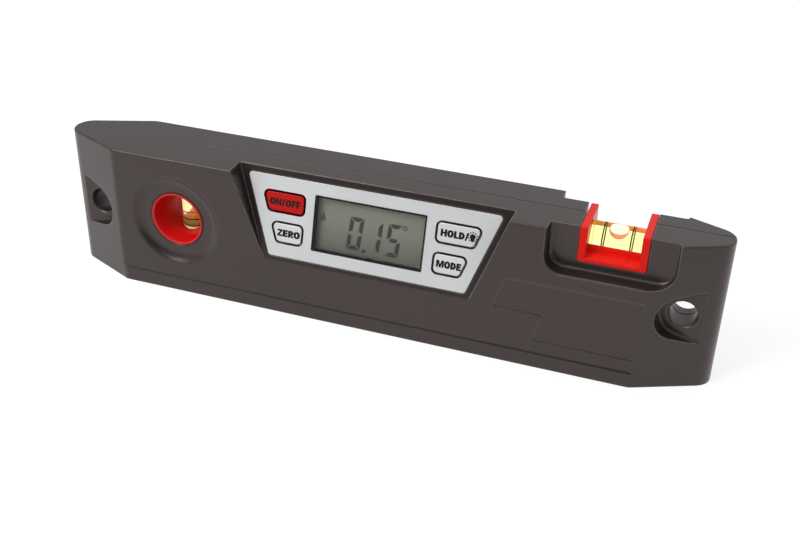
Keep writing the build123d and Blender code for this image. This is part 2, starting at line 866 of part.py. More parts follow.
# Leads from the back of each contact, through the end of the battery bay, to the circuit board
lead_v = (cell_spots["positive"] - slope_foot - board_back * sin(tilt)) / cos(tilt)
for name, spot in cell_spots.items():
    turn = bay_length / 2 + lead_runs[name]
    near = display_plane.from_local_coords((turn - display_x, lead_v, board_back - lead_stub))
    solder = display_plane.from_local_coords((turn - display_x, lead_v, board_back))
    with BuildPart() as lead:
        with BuildLine() as route:
            FilletPolyline((bay_length / 2, cell_y, spot), (turn, cell_y, spot), near, solder, radius=lead_bend)
        with BuildSketch(Plane.YZ.offset(bay_length / 2)):
            with Locations((cell_y, spot)):
                Circle(lead_radius)
        sweep(path=route.line)
    save(lead, f"battery_{name}_lead")

# Battery door, held by one screw at its right end
with BuildPart() as battery_door:
    with BuildSketch(Plane.XZ.offset(-door_seat)):
        with Locations((door_middle, bay_centre_z)):
            RectangleRounded(door_width, door_height, door_corner)
        with Locations((door_screw_x, bay_centre_z)):
            Circle(small_screw_radius + head_gap, mode=Mode.SUBTRACT)
    extrude(amount=-door_thickness)
    with BuildSketch(Plane.XZ.offset(-face)):
        with Locations((door_screw_x, bay_centre_z)):
            Circle(small_head_radius + head_gap)
    extrude(amount=small_head_height, mode=Mode.SUBTRACT)
    with BuildSketch(Plane.XZ.offset(-face)):
        with Locations((grip_pitch * grip_count - bay_length / 2, bay_centre_z)):
            with GridLocations(grip_pitch, 0, grip_count, 1):
                SlotCenterToCenter(cells_height / 2, grip_pitch / 2, rotation=90)
    extrude(amount=grip_depth, mode=Mode.SUBTRACT)
    with BuildSketch(Plane.XZ.offset(-door_seat)):
        with Locations((0, bay_centre_z)):
            Rectangle(cell_length - 2 * door_lap, door_lap)
    extrude(amount=door_rib)
save(battery_door, "battery_door")

with BuildPart() as battery_door_screw:
    with BuildSketch(Plane.XZ.offset(small_head_height - face)):
        with Locations((door_screw_x, bay_centre_z)):
            Circle(small_head_radius)
    extrude(amount=-small_head_height)
    with BuildSketch(Plane.XZ.offset(small_head_height - face)):
        with Locations((door_screw_x, bay_centre_z)):
            Circle(small_screw_radius)
    extrude(amount=small_screw_length)
    with BuildSketch(Plane.XZ.offset(-face)):
        with Locations((door_screw_x, bay_centre_z)):
            Rectangle(2 * small_head_radius, slot_width)
    extrude(amount=slot_depth, mode=Mode.SUBTRACT)
save(battery_door_screw, "battery_door_screw")

# Level vial in its carrier
carrier_left = vial_x - carrier_width / 2
ear_faces = (carrier_left, carrier_left + carrier_width - ear_thickness)
lip_z = carrier_low + lip_height
cradle_z = carrier_low + cradle_height
carrier_front = -bay_floor - carrier_proud
with BuildPart() as top_vial_carrier:
    with BuildSketch(Plane.YZ.offset(carrier_left)):
        with BuildLine():
            Polyline(
                (carrier_front, carrier_low),
                (bay_floor, carrier_low),
                (bay_floor, carrier_low + rear_floor),
                (cradle_back, carrier_low + cradle_floor),
                (cradle_back, cradle_z),
                (-cradle_half, cradle_z),
                (-cradle_half, lip_z + trough_rise),
                (carrier_front, lip_z),
                close=True,
            )
        make_face()
    extrude(amount=carrier_width)
    for ear_x in ear_faces:
        with BuildSketch(Plane.YZ.offset(ear_x)) as ear:
            with Locations((carrier_front, carrier_low)):
                Rectangle(bay_floor - carrier_front, carrier_height, align=(Align.MIN, Align.MIN))
            fillet(ear.vertices().group_by(Axis.Y)[-1], edge_round)
        extrude(amount=ear_thickness)
    fillet(top_vial_carrier.edges().filter_by(Axis.Y).group_by(Axis.Z)[0], carrier_corner)
    fillet(top_vial_carrier.faces().sort_by(Axis.Y)[0].edges(), carrier_round)
    with BuildSketch(parting_plane):
        for side in (-1, 1):
            with Locations((vial_x + side * (carrier_width + carrier_rib) / 2, height - carrier_height / 2)):
                Rectangle(carrier_rib, carrier_rib_height)
    extrude(amount=carrier_rib, both=True)
    with BuildSketch(Plane.YZ.offset(carrier_left + ear_thickness)):
        with Locations((0, vial_z)):
            Circle(vial_radius + saddle_gap)
    extrude(amount=carrier_width - 2 * ear_thickness, mode=Mode.SUBTRACT)
save(top_vial_carrier, "top_vial_carrier")

vial_left = carrier_left + ear_thickness + saddle_gap
vial_length = carrier_width - 2 * (ear_thickness + saddle_gap)
with BuildPart() as top_vial:
    with BuildSketch(Plane.YZ.offset(vial_left)):
        with Locations((0, vial_z)):
            Circle(vial_radius)
    extrude(amount=vial_length)
    with BuildSketch(Plane.YZ.offset(vial_left + vial_end)):
        with Locations((0, vial_z)):
            Circle(vial_bore)
    extrude(amount=vial_length, mode=Mode.SUBTRACT)
save(top_vial, "top_vial")

with BuildPart() as top_vial_plug:
    with BuildSketch(Plane.YZ.offset(vial_left + vial_length)):
        with Locations((0, vial_z)):
            Circle(vial_bore - saddle_gap)
    extrude(amount=-vial_end)
save(top_vial_plug, "top_vial_plug")

with BuildPart() as top_bubble:
    with Locations((vial_x, 0, vial_z + bubble_rise)):
        Sphere(bubble_radius)
    with Locations(Location((vial_x, 0, vial_z), (0, 90, 0))):
        Cylinder(vial_bore - bubble_gap, 4 * bubble_radius, mode=Mode.INTERSECT)
save(top_bubble, "top_bubble")

# Sight port: two sleeve halves that close round the upright vial
sleeve_end = face - dish_depth + sleeve_proud
for name, side in (("front", -1), ("rear", 1)):
    with BuildPart() as sleeve:
        with BuildSketch(port_plane):
            with BuildLine():
                Line((sleeve_waist, 0), (sleeve_waist, side * funnel_start))
                RadiusArc(
                    (sleeve_waist, side * funnel_start), (sleeve_mouth, side * sleeve_end), side * funnel_curve
                )
                Line((sleeve_mouth, side * sleeve_end), (sleeve_radius, side * sleeve_end))
                Line((sleeve_radius, side * sleeve_end), (sleeve_radius, 0))
                Line((sleeve_radius, 0), (sleeve_waist, 0))
            make_face()
        revolve(axis=port_axis)
        with Locations((port_x, 0, port_z)):
            Cylinder(plumb_radius + saddle_gap, plumb_length + 2 * saddle_gap, mode=Mode.SUBTRACT)
    save(sleeve, f"plumb_sleeve_{name}")

plumb_low = port_z - plumb_length / 2
with BuildPart() as plumb_vial:
    with BuildSketch(Plane.XY.offset(plumb_low)):
        with Locations((port_x, 0)):
            Circle(plumb_radius)
    extrude(amount=plumb_length)
    with BuildSketch(Plane.XY.offset(plumb_low)):
        with Locations((port_x, 0)):
            Circle(plumb_bore)
    extrude(amount=plumb_length - vial_end, mode=Mode.SUBTRACT)
save(plumb_vial, "plumb_vial")

with BuildPart() as plumb_vial_plug:
    with BuildSketch(Plane.XY.offset(plumb_low)):
        with Locations((port_x, 0)):
            Circle(plumb_bore - saddle_gap)
    extrude(amount=plug_height)
save(plumb_vial_plug, "plumb_vial_plug")

with BuildPart() as plumb_bubble:
    with BuildSketch(Plane.XY.offset(plumb_low + plumb_length - vial_end - bubble_gap)):
        with Locations((port_x, 0)):
            Circle(plumb_bore - bubble_gap)
    extrude(amount=-plumb_bubble_height)
    fillet(plumb_bubble.edges().group_by(Axis.Z)[0], plumb_bubble_height / 2)
save(plumb_bubble, "plumb_bubble")
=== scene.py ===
import json
import bpy
import numpy as np
from mathutils import Matrix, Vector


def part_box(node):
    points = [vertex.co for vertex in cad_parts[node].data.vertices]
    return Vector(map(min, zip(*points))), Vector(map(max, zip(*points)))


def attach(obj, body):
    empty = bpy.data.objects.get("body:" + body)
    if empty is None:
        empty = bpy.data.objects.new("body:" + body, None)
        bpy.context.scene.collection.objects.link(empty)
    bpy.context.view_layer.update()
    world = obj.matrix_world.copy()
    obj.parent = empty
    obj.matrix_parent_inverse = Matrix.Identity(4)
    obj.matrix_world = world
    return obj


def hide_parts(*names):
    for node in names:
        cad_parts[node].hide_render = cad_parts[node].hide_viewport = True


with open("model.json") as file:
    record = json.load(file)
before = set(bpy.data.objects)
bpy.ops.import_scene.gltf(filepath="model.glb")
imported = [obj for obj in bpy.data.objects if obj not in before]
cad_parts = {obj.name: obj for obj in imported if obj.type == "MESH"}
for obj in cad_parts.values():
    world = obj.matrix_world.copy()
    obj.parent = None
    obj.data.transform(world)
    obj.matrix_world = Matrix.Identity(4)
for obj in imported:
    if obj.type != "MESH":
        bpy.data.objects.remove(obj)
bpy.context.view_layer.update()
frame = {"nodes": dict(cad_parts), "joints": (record.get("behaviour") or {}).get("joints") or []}  # the level in metres: X along it, the display looks to -Y, it stands on Z = 0
scene = bpy.context.scene
mm = 0.001


# Directions: the level's own, and those of the sloping panel, which the keys are pressed square into
alongX = np.array([1.0, 0.0, 0.0])
alongY = np.array([0.0, 1.0, 0.0])
alongZ = np.array([0.0, 0.0, 1.0])
pressAxis = next(joint["axis"] for joint in frame["joints"] if joint["name"] == "key_on_off_press")
panelOut = -np.array(pressAxis) / np.linalg.norm(pressAxis)  # towards the viewer
panelRight = alongX
panelUp = np.cross(panelOut, panelRight)
slantedWay = np.array([0.31, 0.87, 0.38])  # along none of the axes that shapes are carried round


def span(node, direction):  # lowest and highest reach of a CAD node along a direction
    mesh = frame["nodes"][node].data
    flat = np.empty(len(mesh.vertices) * 3)
    mesh.vertices.foreach_get("co", flat)
    reach = flat.reshape(-1, 3) @ direction
    return reach.min(), reach.max()


def middle(node, direction):
    return sum(span(node, direction)) / 2


def onPanel(across, along, out):  # point from its distances to the right, up the slope and out of it
    return (
        np.multiply.outer(across, panelRight)
        + np.multiply.outer(along, panelUp)
        + np.multiply.outer(out, panelOut)
    )


# Shapes: each function that makes one gives an array of points and a list of face arrays

def strip(first, second):  # faces between rows of points that close on themselves
    rows = [first, np.roll(first, -1, -1), np.roll(second, -1, -1), second]
    return np.stack(rows, axis=-1).reshape(-1, 4)


# Circle: directions square to an axis at equal angles, by cosine and sine
def circleRound(axis, turns):
    side = np.cross(axis, slantedWay)
    side /= np.linalg.norm(side)
    angle = np.linspace(0, 2 * np.pi, turns, endpoint=False)
    return np.multiply.outer(np.cos(angle), side) + np.multiply.outer(np.sin(angle), np.cross(axis, side))


# Solid of revolution: pairs (radius, reach) are carried round an axis, and the first and last lie on it
def lathe(profile, start, axis, turns):
    radius, reach = np.asarray(profile, float).T
    stations = np.asarray(start) + np.multiply.outer(reach, axis)
    rows = radius[1:-1, None, None] * circleRound(axis, turns) + stations[1:-1, None, :]
    points = np.vstack([stations[:1], rows.reshape(-1, 3), stations[-1:]])
    here = 1 + np.arange(len(radius) - 2)[:, None] * turns + np.arange(turns)
    after = np.roll(here, -1, axis=1)
    firstFan = np.stack([np.zeros(turns, int), after[0], here[0]], axis=-1)
    lastFan = np.stack([np.full(turns, len(points) - 1), here[-1], after[-1]], axis=-1)
    return points, [strip(here[:-1], here[1:]), firstFan, lastFan]


# Ring of square section: its four corners (radius, reach) are carried once round an axis
def hoop(inner, outer, low, high, start, axis, turns):
    radius, reach = np.array([(outer, low), (outer, high), (inner, high), (inner, low)]).T
    stations = np.asarray(start) + np.multiply.outer(reach, axis)
    points = radius[:, None, None] * circleRound(axis, turns) + stations[:, None, :]
    here = np.arange(4)[:, None] * turns + np.arange(turns)
    return points.reshape(-1, 3), [strip(here, np.roll(here, -1, axis=0))]


# Thin plates: each flat outline, drawn counter-clockwise on the panel, is lifted from low to high
def plates(outlines, low, high):
    outlines = np.asarray(outlines, float)
    count, corners = outlines.shape[:2]
    layers = [onPanel(outlines[..., 0], outlines[..., 1], out) for out in (low, high)]
    index = np.arange(count * 2 * corners).reshape(count, 2, corners)
    foot, lid = index[:, 0], index[:, 1]
    return np.stack(layers, axis=1).reshape(-1, 3), [lid, foot[:, ::-1], strip(foot, lid)]


# Loop plate: the strip between two loops with the same number of corners, lifted from low to high
def loopPlate(outer, inner, low, high):
    points = np.vstack([onPanel(*loop.T, out) for out in (low, high) for loop in (outer, inner)])
    footOut, footIn, lidOut, lidIn = np.arange(4 * len(outer)).reshape(4, -1)
    flat = [strip(lidOut, lidIn), strip(footIn, footOut)]
    return points, [*flat, strip(footOut, lidOut), strip(lidIn, footIn)]


# Bars with pointed ends: a six-cornered outline for each centre, angle, length and half width
def barOutlines(centres, angles, lengths, half):
    centres, angles, lengths = (np.asarray(values, float) for values in (centres, angles, lengths))
    along = lengths[:, None] / 2 * [-1, -1, 1, 1, 1, -1] + half * np.array([0, 1, -1, 0, -1, 1])
    aside = np.broadcast_to(half * np.array([0, -1, -1, 0, 1, 1]), along.shape)
    cos, sin = np.cos(angles)[:, None], np.sin(angles)[:, None]
    return centres[:, None, :] + np.stack([along * cos - aside * sin, along * sin + aside * cos], axis=-1)


def joined(*shapes):  # several shapes as one list of points and faces
    points, faces, count = [], [], 0
    for shapePoints, shapeFaces in shapes:
        points.append(shapePoints)
        faces += [rows + count for rows in shapeFaces]
        count += len(shapePoints)
    return np.vstack(points), faces


def addPiece(name, shape, body, pieceFinishes, smooth=False, second=0):
    points, faces = shape
    mesh = bpy.data.meshes.new(name)
    mesh.from_pydata(points.tolist(), [], sum((rows.tolist() for rows in faces), []))
    for finish in pieceFinishes:
        mesh.materials.append(finish)
    mesh.polygons.foreach_set("use_smooth", np.full(len(mesh.polygons), smooth))
    if second:  # from this face on they take the second finish
        later = np.arange(len(mesh.polygons)) >= second
        mesh.polygons.foreach_set("material_index", later.astype(int))
    mesh.update()
    piece = bpy.data.objects.new(name, mesh)
    scene.collection.objects.link(piece)
    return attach(piece, body)


# Shader helpers
plainWhite = (1.0, 1.0, 1.0, 1.0)
plainBlack = (0.0, 0.0, 0.0, 1.0)


def colour(red, green, blue):  # 8-bit screen colour as linear values, by the standard sRGB curve
    share = np.array([red, green, blue]) / 255
    linear = np.where(share <= 0.04045, share / 12.92, ((share + 0.055) / 1.055) ** 2.4)
    return (*linear.tolist(), 1.0)


def feed(tree, value, socket):  # a link, or a plain value on the socket itself
    if isinstance(value, bpy.types.NodeSocket):
        tree.links.new(value, socket)
    else:
        socket.default_value = value


def addNode(tree, kind, inputs=None, **settings):
    node = tree.nodes.new("ShaderNode" + kind)
    for name, value in settings.items():
        setattr(node, name, value)
    for name, value in (inputs or {}).items():
        feed(tree, value, node.inputs[name])
    return node


def sums(tree, operation, first, second=0.0):
    return addNode(tree, "Math", {0: first, 1: second}, operation=operation).outputs[0]


def spread(tree, value, low, high, start=0.0, finish=1.0):  # start to finish becomes low to high
    ends = {"Value": value, "From Min": start, "From Max": finish, "To Min": low, "To Max": high}
    return addNode(tree, "MapRange", ends).outputs["Result"]


def mixTint(tree, share, first, second):
    return addNode(tree, "Mix", {0: share, 6: first, 7: second}, data_type="RGBA").outputs[2]


def likeness(tree, first, second):  # dot product of two vectors
    return addNode(tree, "VectorMath", {0: first, 1: second}, operation="DOT_PRODUCT").outputs["Value"]


def noise(tree, place, scale, detail):
    return addNode(tree, "TexNoise", {"Vector": place, "Scale": scale, "Detail": detail}).outputs["Fac"]


def objectSpot(tree):  # a point in the level's own frame
    return addNode(tree, "TexCoord").outputs["Object"]


def threeParts(tree, vector):  # X, Y and Z of a vector
    return addNode(tree, "SeparateXYZ", {0: vector}).outputs


def objectPlace(tree):
    return threeParts(tree, objectSpot(tree))


def faceNormal(tree):
    return addNode(tree, "NewGeometry").outputs["Normal"]


def fromPort(tree):  # distance of a point from the middle line of the sight port
    place = objectPlace(tree)
    apart = {name: sums(tree, "SUBTRACT", place[name], middle("plumb_sleeve_front", way))
             for name, way in (("X", alongX), ("Z", alongZ))}
    flat = addNode(tree, "CombineXYZ", apart).outputs[0]
    return addNode(tree, "VectorMath", {0: flat}, operation="LENGTH").outputs["Value"]


def startGroup(name, inputs, outputs):
    group = bpy.data.node_groups.new(name, "ShaderNodeTree")
    for label in inputs:
        group.interface.new_socket(label, in_out="INPUT", socket_type="NodeSocketFloat")
    for label, kind in outputs.items():
        group.interface.new_socket(label, in_out="OUTPUT", socket_type="NodeSocket" + kind)
    return group, group.nodes.new("NodeGroupInput").outputs, group.nodes.new("NodeGroupOutput").inputs


def useGroup(tree, group, inputs):
    return addNode(tree, "Group", inputs, node_tree=group).outputs


# Mould grain: fine eroded pits for the bump, and broad soft patches for colour and gloss
grainLook = {"fineDetail": 3.0, "pitShare": 0.5, "patchDetail": 4.0, "patchReach": (0.3, 0.7)}


def mouldGrainGroup():
    look = grainLook
    group, given, result = startGroup("mouldGrain", ["Grain", "Patch"], {"Height": "Float", "Tone": "Float"})
    place = objectSpot(group)
    fine = noise(group, place, given["Grain"], look["fineDetail"])
    pits = addNode(group, "TexVoronoi", {"Vector": place, "Scale": given["Grain"]}, feature="SMOOTH_F1")
    broad = noise(group, place, given["Patch"], look["patchDetail"])
    sunken = sums(group, "MULTIPLY", pits.outputs["Distance"], look["pitShare"])
    feed(group, sums(group, "ADD", fine, sunken), result["Height"])
    feed(group, spread(group, broad, 0.0, 1.0, *look["patchReach"]), result["Tone"])
    return group


# Soft edge: a rounded normal near sharp edges, and a broken mask of pale edges: polish and painted highlight
softEdgeLook = {"samples": 6, "turned": (0.86, 0.995), "breaks": 420.0, "breakDetail": 3.0,
                "breakReach": (0.35, 0.65), "leastWearAndHighlight": 0.6}


def softEdgeGroup():
    look = softEdgeLook
    group, given, result = startGroup("softEdge", ["Width", "Amount"], {"Normal": "Vector", "WearAndHighlight": "Float"})
    rounded = addNode(group, "Bevel", {"Radius": given["Width"]}, samples=look["samples"]).outputs["Normal"]
    turned = spread(group, likeness(group, rounded, faceNormal(group)), 1.0, 0.0, *look["turned"])
    broken = noise(group, objectSpot(group), look["breaks"], look["breakDetail"])
    patchy = spread(group, broken, look["leastWearAndHighlight"], 1.0, *look["breakReach"])
    wearAndHighlight = sums(group, "MULTIPLY", sums(group, "MULTIPLY", turned, patchy), given["Amount"])
    feed(group, rounded, result["Normal"])
    feed(group, wearAndHighlight, result["WearAndHighlight"])
    return group


# Brushed lines: noise that is drawn out along X, for plated strip and screw heads
brushLook = {"drawnOut": (0.03, 1.0, 1.0), "lineDetail": 2.0, "patch": 260.0, "patchDetail": 3.0,
             "toneReach": (0.12, 0.4)}


def brushedGroup():
    look = brushLook
    group, given, result = startGroup("brushedLines", ["Lines"], {"Height": "Float", "Tone": "Float"})
    place = objectSpot(group)
    drawn = addNode(group, "Mapping", {"Vector": place, "Scale": look["drawnOut"]}).outputs["Vector"]
    lines = noise(group, drawn, given["Lines"], look["lineDetail"])
    tone = sums(group, "MULTIPLY", lines, noise(group, place, look["patch"], look["patchDetail"]))
    feed(group, lines, result["Height"])
    feed(group, spread(group, tone, 0.0, 1.0, *look["toneReach"]), result["Tone"])
    return group


mouldGrain, softEdge, brushedLines = mouldGrainGroup(), softEdgeGroup(), brushedGroup()


def startFinish(name, constants=None):
    finish = bpy.data.materials.new(name)
    finish.use_nodes = True
    shader = finish.node_tree.nodes["Principled BSDF"]
    for socket, value in (constants or {}).items():
        shader.inputs[socket].default_value = value
    return finish, finish.node_tree, shader


def addBump(tree, shader, height, depth, normal=None):
    bump = addNode(tree, "Bump", {"Height": height, "Strength": 1.0, "Distance": depth})
    if normal is not None:
        feed(tree, normal, bump.inputs["Normal"])
    feed(tree, bump.outputs["Normal"], shader.inputs["Normal"])


# Moulded or printed plastic: two close tones in patches, paler edges (wear and painted highlight), grain as
# bump
def mouldedFinish(name, look):
    finish, tree, shader = startFinish(name, look.get("constants"))
    grain = useGroup(tree, mouldGrain, {"Grain": look["grain"], "Patch": look["patch"]})
    width, amount = look["edgeWidth"], look["wearAndHighlight"]
    if "dishWidth" in look:  # the dish round the port has a broad soft edge, without the pale edge of wear and painted highlight
        inDish = spread(tree, fromPort(tree), 1.0, 0.0, *look["dishReach"])
        width = spread(tree, inDish, width, look["dishWidth"])
        amount = spread(tree, inDish, amount, 0.0)
    edge = useGroup(tree, softEdge, {"Width": width, "Amount": amount})
    tone = mixTint(tree, grain["Tone"], look["body"], look["second"])
    wearAndHighlight = edge["WearAndHighlight"]
    if "seamAt" in look:  # the line where the two casings meet stays dark
        depth = sums(tree, "SUBTRACT", objectPlace(tree)["Y"], look["seamAt"])
        away = spread(tree, sums(tree, "ABSOLUTE", depth), 0.0, 1.0, *look["seamReach"])
        wearAndHighlight = sums(tree, "MULTIPLY", wearAndHighlight, away)
        tone = mixTint(tree, away, look["seam"], tone)
    # pale edges: partly wear, partly painted highlight
    tone = mixTint(tree, wearAndHighlight, tone, look["edge"])
    if "sides" in look:  # faces that do not look out of the panel
        outward = likeness(tree, faceNormal(tree), tuple(panelOut))
        tone = mixTint(tree, spread(tree, outward, 1.0, 0.0, *look["sidesReach"]), tone, look["sides"])
    feed(tree, tone, shader.inputs["Base Color"])
    feed(tree, spread(tree, grain["Tone"], *look["rough"]), shader.inputs["Roughness"])
    addBump(tree, shader, grain["Height"], look["depth"], edge["Normal"])
    return finish


# Plated strip and screws: brushed metal in two close tones, with paler edges of wear and painted highlight
def metalFinish(name, look):
    finish, tree, shader = startFinish(name, {"Metallic": 1.0})
    lines = useGroup(tree, brushedLines, {"Lines": look["lines"]})
    edge = useGroup(tree, softEdge, {"Width": look["edgeWidth"], "Amount": 1.0})
    tone = mixTint(tree, lines["Tone"], look["body"], look["second"])
    # pale edges: partly wear, partly painted highlight
    feed(tree, mixTint(tree, edge["WearAndHighlight"], tone, look["edge"]), shader.inputs["Base Color"])
    feed(tree, spread(tree, lines["Tone"], *look["rough"]), shader.inputs["Roughness"])
    addBump(tree, shader, lines["Height"], look["depth"], edge["Normal"])
    return finish


# Window, vials and bubble skins: clear, with faint smears in the gloss, and lamps shine through
def clearFinish(name, look):
    constants = {"Transmission Weight": 1.0, "IOR": look["bend"], "Base Color": plainWhite}
    if "glow" in look:  # painted glow: the dyed liquid and the bubble in it shine a little by themselves
        constants.update({"Emission Color": look["glow"], "Emission Strength": look["glowLevel"]})
    finish, tree, shader = startFinish(name, constants)
    if "glowReach" in look:  # the painted glow rises between two heights
        height = objectPlace(tree)["Z"]
        share = spread(tree, height, 0.0, 1.0, *look["glowReach"])
        feed(tree, mixTint(tree, share, plainBlack, look["glow"]), shader.inputs["Emission Color"])
        if "footTint" in look:  # where the painted glow fades the liquid is coloured brown, down to the plug
            abovePlug = spread(tree, height, 0.0, 1.0, *look["footReach"])
            foot = mixTint(tree, abovePlug, plainWhite, look["footTint"])
            feed(tree, mixTint(tree, share, foot, plainWhite), shader.inputs["Base Color"])
    grain = useGroup(tree, mouldGrain, {"Grain": look["smear"], "Patch": look["smear"]})
    feed(tree, spread(tree, grain["Tone"], *look["rough"]), shader.inputs["Roughness"])
    output = tree.nodes["Material Output"]
    passing = addNode(tree, "BsdfTransparent", {"Color": look["shadow"]}).outputs[0]
    shadowRay = addNode(tree, "LightPath").outputs["Is Shadow Ray"]
    both = addNode(tree, "MixShader", {0: shadowRay, 1: shader.outputs[0], 2: passing})
    feed(tree, both.outputs[0], output.inputs["Surface"])
    if "density" in look:  # dye in the liquid
        liquid = addNode(tree, "VolumeAbsorption", {"Color": look["liquid"], "Density": look["density"]})
        feed(tree, liquid.outputs[0], output.inputs["Volume"])
    return finish


# Edge colours: pale rounded edges, partly wear and partly painted highlight
casingLook = {
    "body": colour(36, 31, 30), "second": colour(39, 34, 32), "edge": colour(140, 140, 134),
    "rough": (0.27, 0.33), "grain": 5200.0, "patch": 45.0, "depth": 6e-6, "edgeWidth": 0.7 * mm, "wearAndHighlight": 0.6,
    "dishWidth": 2.0 * mm, "dishReach": (18.0 * mm, 19.0 * mm),
    "seam": colour(9, 8, 8), "seamAt": 1.65 * mm, "seamReach": (0.25 * mm, 0.65 * mm),
    "constants": {"Specular IOR Level": 0.62, "Specular Tint": (1.0, 0.84, 0.82, 1.0)},
}
silverLook = {
    "body": colour(206, 207, 208), "second": colour(212, 213, 213), "edge": colour(226, 227, 228),
    "rough": (0.34, 0.42), "grain": 9000.0, "patch": 60.0, "depth": 3e-6, "edgeWidth": 0.15 * mm,
    "wearAndHighlight": 0.7, "sides": colour(12, 12, 12), "sidesReach": (0.3, 0.5),
    "constants": {"Metallic": 0.15, "Specular IOR Level": 0.4},
}
silverKeyLook = dict(silverLook, body=colour(212, 213, 213), second=colour(219, 219, 219), rough=(0.3, 0.38))
redKeyLook = dict(
    silverLook, body=colour(178, 15, 10), second=colour(184, 17, 12), edge=colour(200, 44, 36), wearAndHighlight=0.3,
    sides=colour(30, 6, 5), constants={"Specular IOR Level": 0.2},
)
redPlasticLook = {
    "body": colour(218, 18, 9), "second": colour(224, 22, 11), "edge": colour(236, 56, 42),
    "rough": (0.24, 0.32), "grain": 4200.0, "patch": 80.0, "depth": 4e-6, "edgeWidth": 0.2 * mm, "wearAndHighlight": 0.5,
    "constants": {"Specular IOR Level": 0.18, "Subsurface Weight": 0.2, "Subsurface Scale": 0.8 * mm,
                  "Subsurface Radius": (1.0, 0.2, 0.1)},
}
sleeveLook = dict(
    redPlasticLook, body=colour(192, 12, 14), second=colour(199, 14, 15), edge=colour(255, 92, 90), wearAndHighlight=1.0,
    edgeWidth=0.5 * mm, rough=(0.34, 0.42),
)
whitePlasticLook = {
    "body": colour(232, 231, 226), "second": colour(239, 238, 234), "edge": colour(250, 250, 248),
    "rough": (0.3, 0.4), "grain": 4200.0, "patch": 120.0, "depth": 5e-6, "edgeWidth": 0.1 * mm, "wearAndHighlight": 0.5,
}
lightGuideLook = dict(
    whitePlasticLook, body=colour(236, 238, 240), second=colour(246, 247, 248), rough=(0.4, 0.55),
)
softBlackLook = {
    "body": colour(24, 24, 25), "second": colour(32, 32, 33), "edge": colour(52, 52, 54), "wearAndHighlight": 0.4,
    "rough": (0.6, 0.75), "grain": 3500.0, "patch": 200.0, "depth": 10e-6, "edgeWidth": 0.1 * mm,
}
redLeadLook = dict(softBlackLook, body=colour(150, 22, 18), second=colour(160, 26, 22))
chipLook = {
    "body": colour(30, 31, 33), "second": colour(37, 38, 40), "edge": colour(62, 62, 64), "wearAndHighlight": 0.6,
    "rough": (0.5, 0.65), "grain": 6000.0, "patch": 500.0, "depth": 6e-6, "edgeWidth": 0.12 * mm,
}
labelLook = {
    "body": colour(8, 8, 9), "second": colour(12, 12, 13), "edge": colour(18, 18, 19),
    "rough": (0.45, 0.55), "grain": 9000.0, "patch": 500.0, "depth": 1e-6, "edgeWidth": 0.02 * mm,
    "wearAndHighlight": 0.3, "constants": {"Specular IOR Level": 0.25},
}
redLabelLook = dict(labelLook, body=colour(38, 9, 7), second=colour(44, 11, 8), edge=colour(50, 13, 10))
segmentLook = dict(labelLook, body=colour(30, 31, 28), second=colour(34, 35, 32), edge=colour(36, 37, 34))
faintSegmentLook = dict(
    labelLook, body=colour(56, 58, 52), second=colour(60, 62, 55), edge=colour(62, 64, 57),
)
springLook = {
    "body": colour(188, 186, 178), "second": colour(206, 204, 198), "edge": colour(228, 227, 222),
    "rough": (0.22, 0.38), "lines": 7000.0, "depth": 4e-6, "edgeWidth": 0.1 * mm,
}
screwLook = dict(springLook, body=colour(150, 151, 152), second=colour(172, 172, 172), rough=(0.28, 0.45))
windowLook = {"bend": 1.32, "smear": 160.0, "rough": (0.0, 0.02), "shadow": (0.92, 0.92, 0.92, 1.0)}
# The glow of the liquids and of the bubble skin is painted light
vialLook = {
    "bend": 1.28, "smear": 300.0, "rough": (0.0, 0.01), "shadow": (0.96, 0.97, 0.7, 1.0),
    "liquid": (0.985, 0.99, 0.05, 1.0), "density": 85.0, "glow": (0.9, 0.8, 0.05, 1.0), "glowLevel": 0.1,
}
plugTop = span("plumb_vial_plug", alongZ)[1]
plumbLiquidLook = dict(
    vialLook, bend=1.44, liquid=(0.985, 0.8, 0.05, 1.0), glow=(1.0, 0.42, 0.03, 1.0), glowLevel=0.14,
    glowReach=(plugTop, plugTop + 2.2 * mm), footTint=(0.6, 0.28, 0.06, 1.0),
    footReach=(plugTop - 0.7 * mm, plugTop - 0.3 * mm),
)
skinLook = {
    "bend": 1.12, "smear": 300.0, "rough": (0.0, 0.01), "shadow": plainWhite,
    "glow": (0.3, 0.45, 1.0, 1.0), "glowLevel": 0.22, "glowReach": (45.5 * mm, 46.3 * mm),
}


# Display: grey-green glass with a fine grain, and painted shade darkening it towards its lower edge
displayLook = {"body": colour(94, 97, 85), "second": colour(100, 103, 90), "shade": colour(79, 81, 72),
               "rough": (0.35, 0.45), "gloss": 0.3, "grain": 6000.0, "patch": 90.0, "depth": 1e-6,
               "shadeReach": (2.5 * mm, 11.0 * mm)}


def displayFinish():
    look = displayLook
    finish, tree, shader = startFinish("displayGlass", {"Specular IOR Level": look["gloss"]})
    grain = useGroup(tree, mouldGrain, {"Grain": look["grain"], "Patch": look["patch"]})
    upSlope = likeness(tree, objectSpot(tree), tuple(panelUp))
    lowest = span("display_window", panelUp)[0]
    # painted shade cast by the window's lower edge
    near = spread(tree, upSlope, 1.0, 0.0, *(lowest + reach for reach in look["shadeReach"]))
    tone = mixTint(tree, grain["Tone"], look["body"], look["second"])
    feed(tree, mixTint(tree, near, tone, look["shade"]), shader.inputs["Base Color"])
    feed(tree, spread(tree, grain["Tone"], *look["rough"]), shader.inputs["Roughness"])
    addBump(tree, shader, grain["Height"], look["depth"])
    return finish


# Circuit board: green mask over slightly raised tracks, with small tinned pads
boardLook = {"mask": colour(28, 84, 50), "track": colour(44, 112, 66), "pad": colour(196, 194, 186),
             "pitch": 700.0, "trackWidth": 0.03, "padReach": (0.1, 0.13), "rough": (0.35, 0.2),
             "depth": 20e-6}


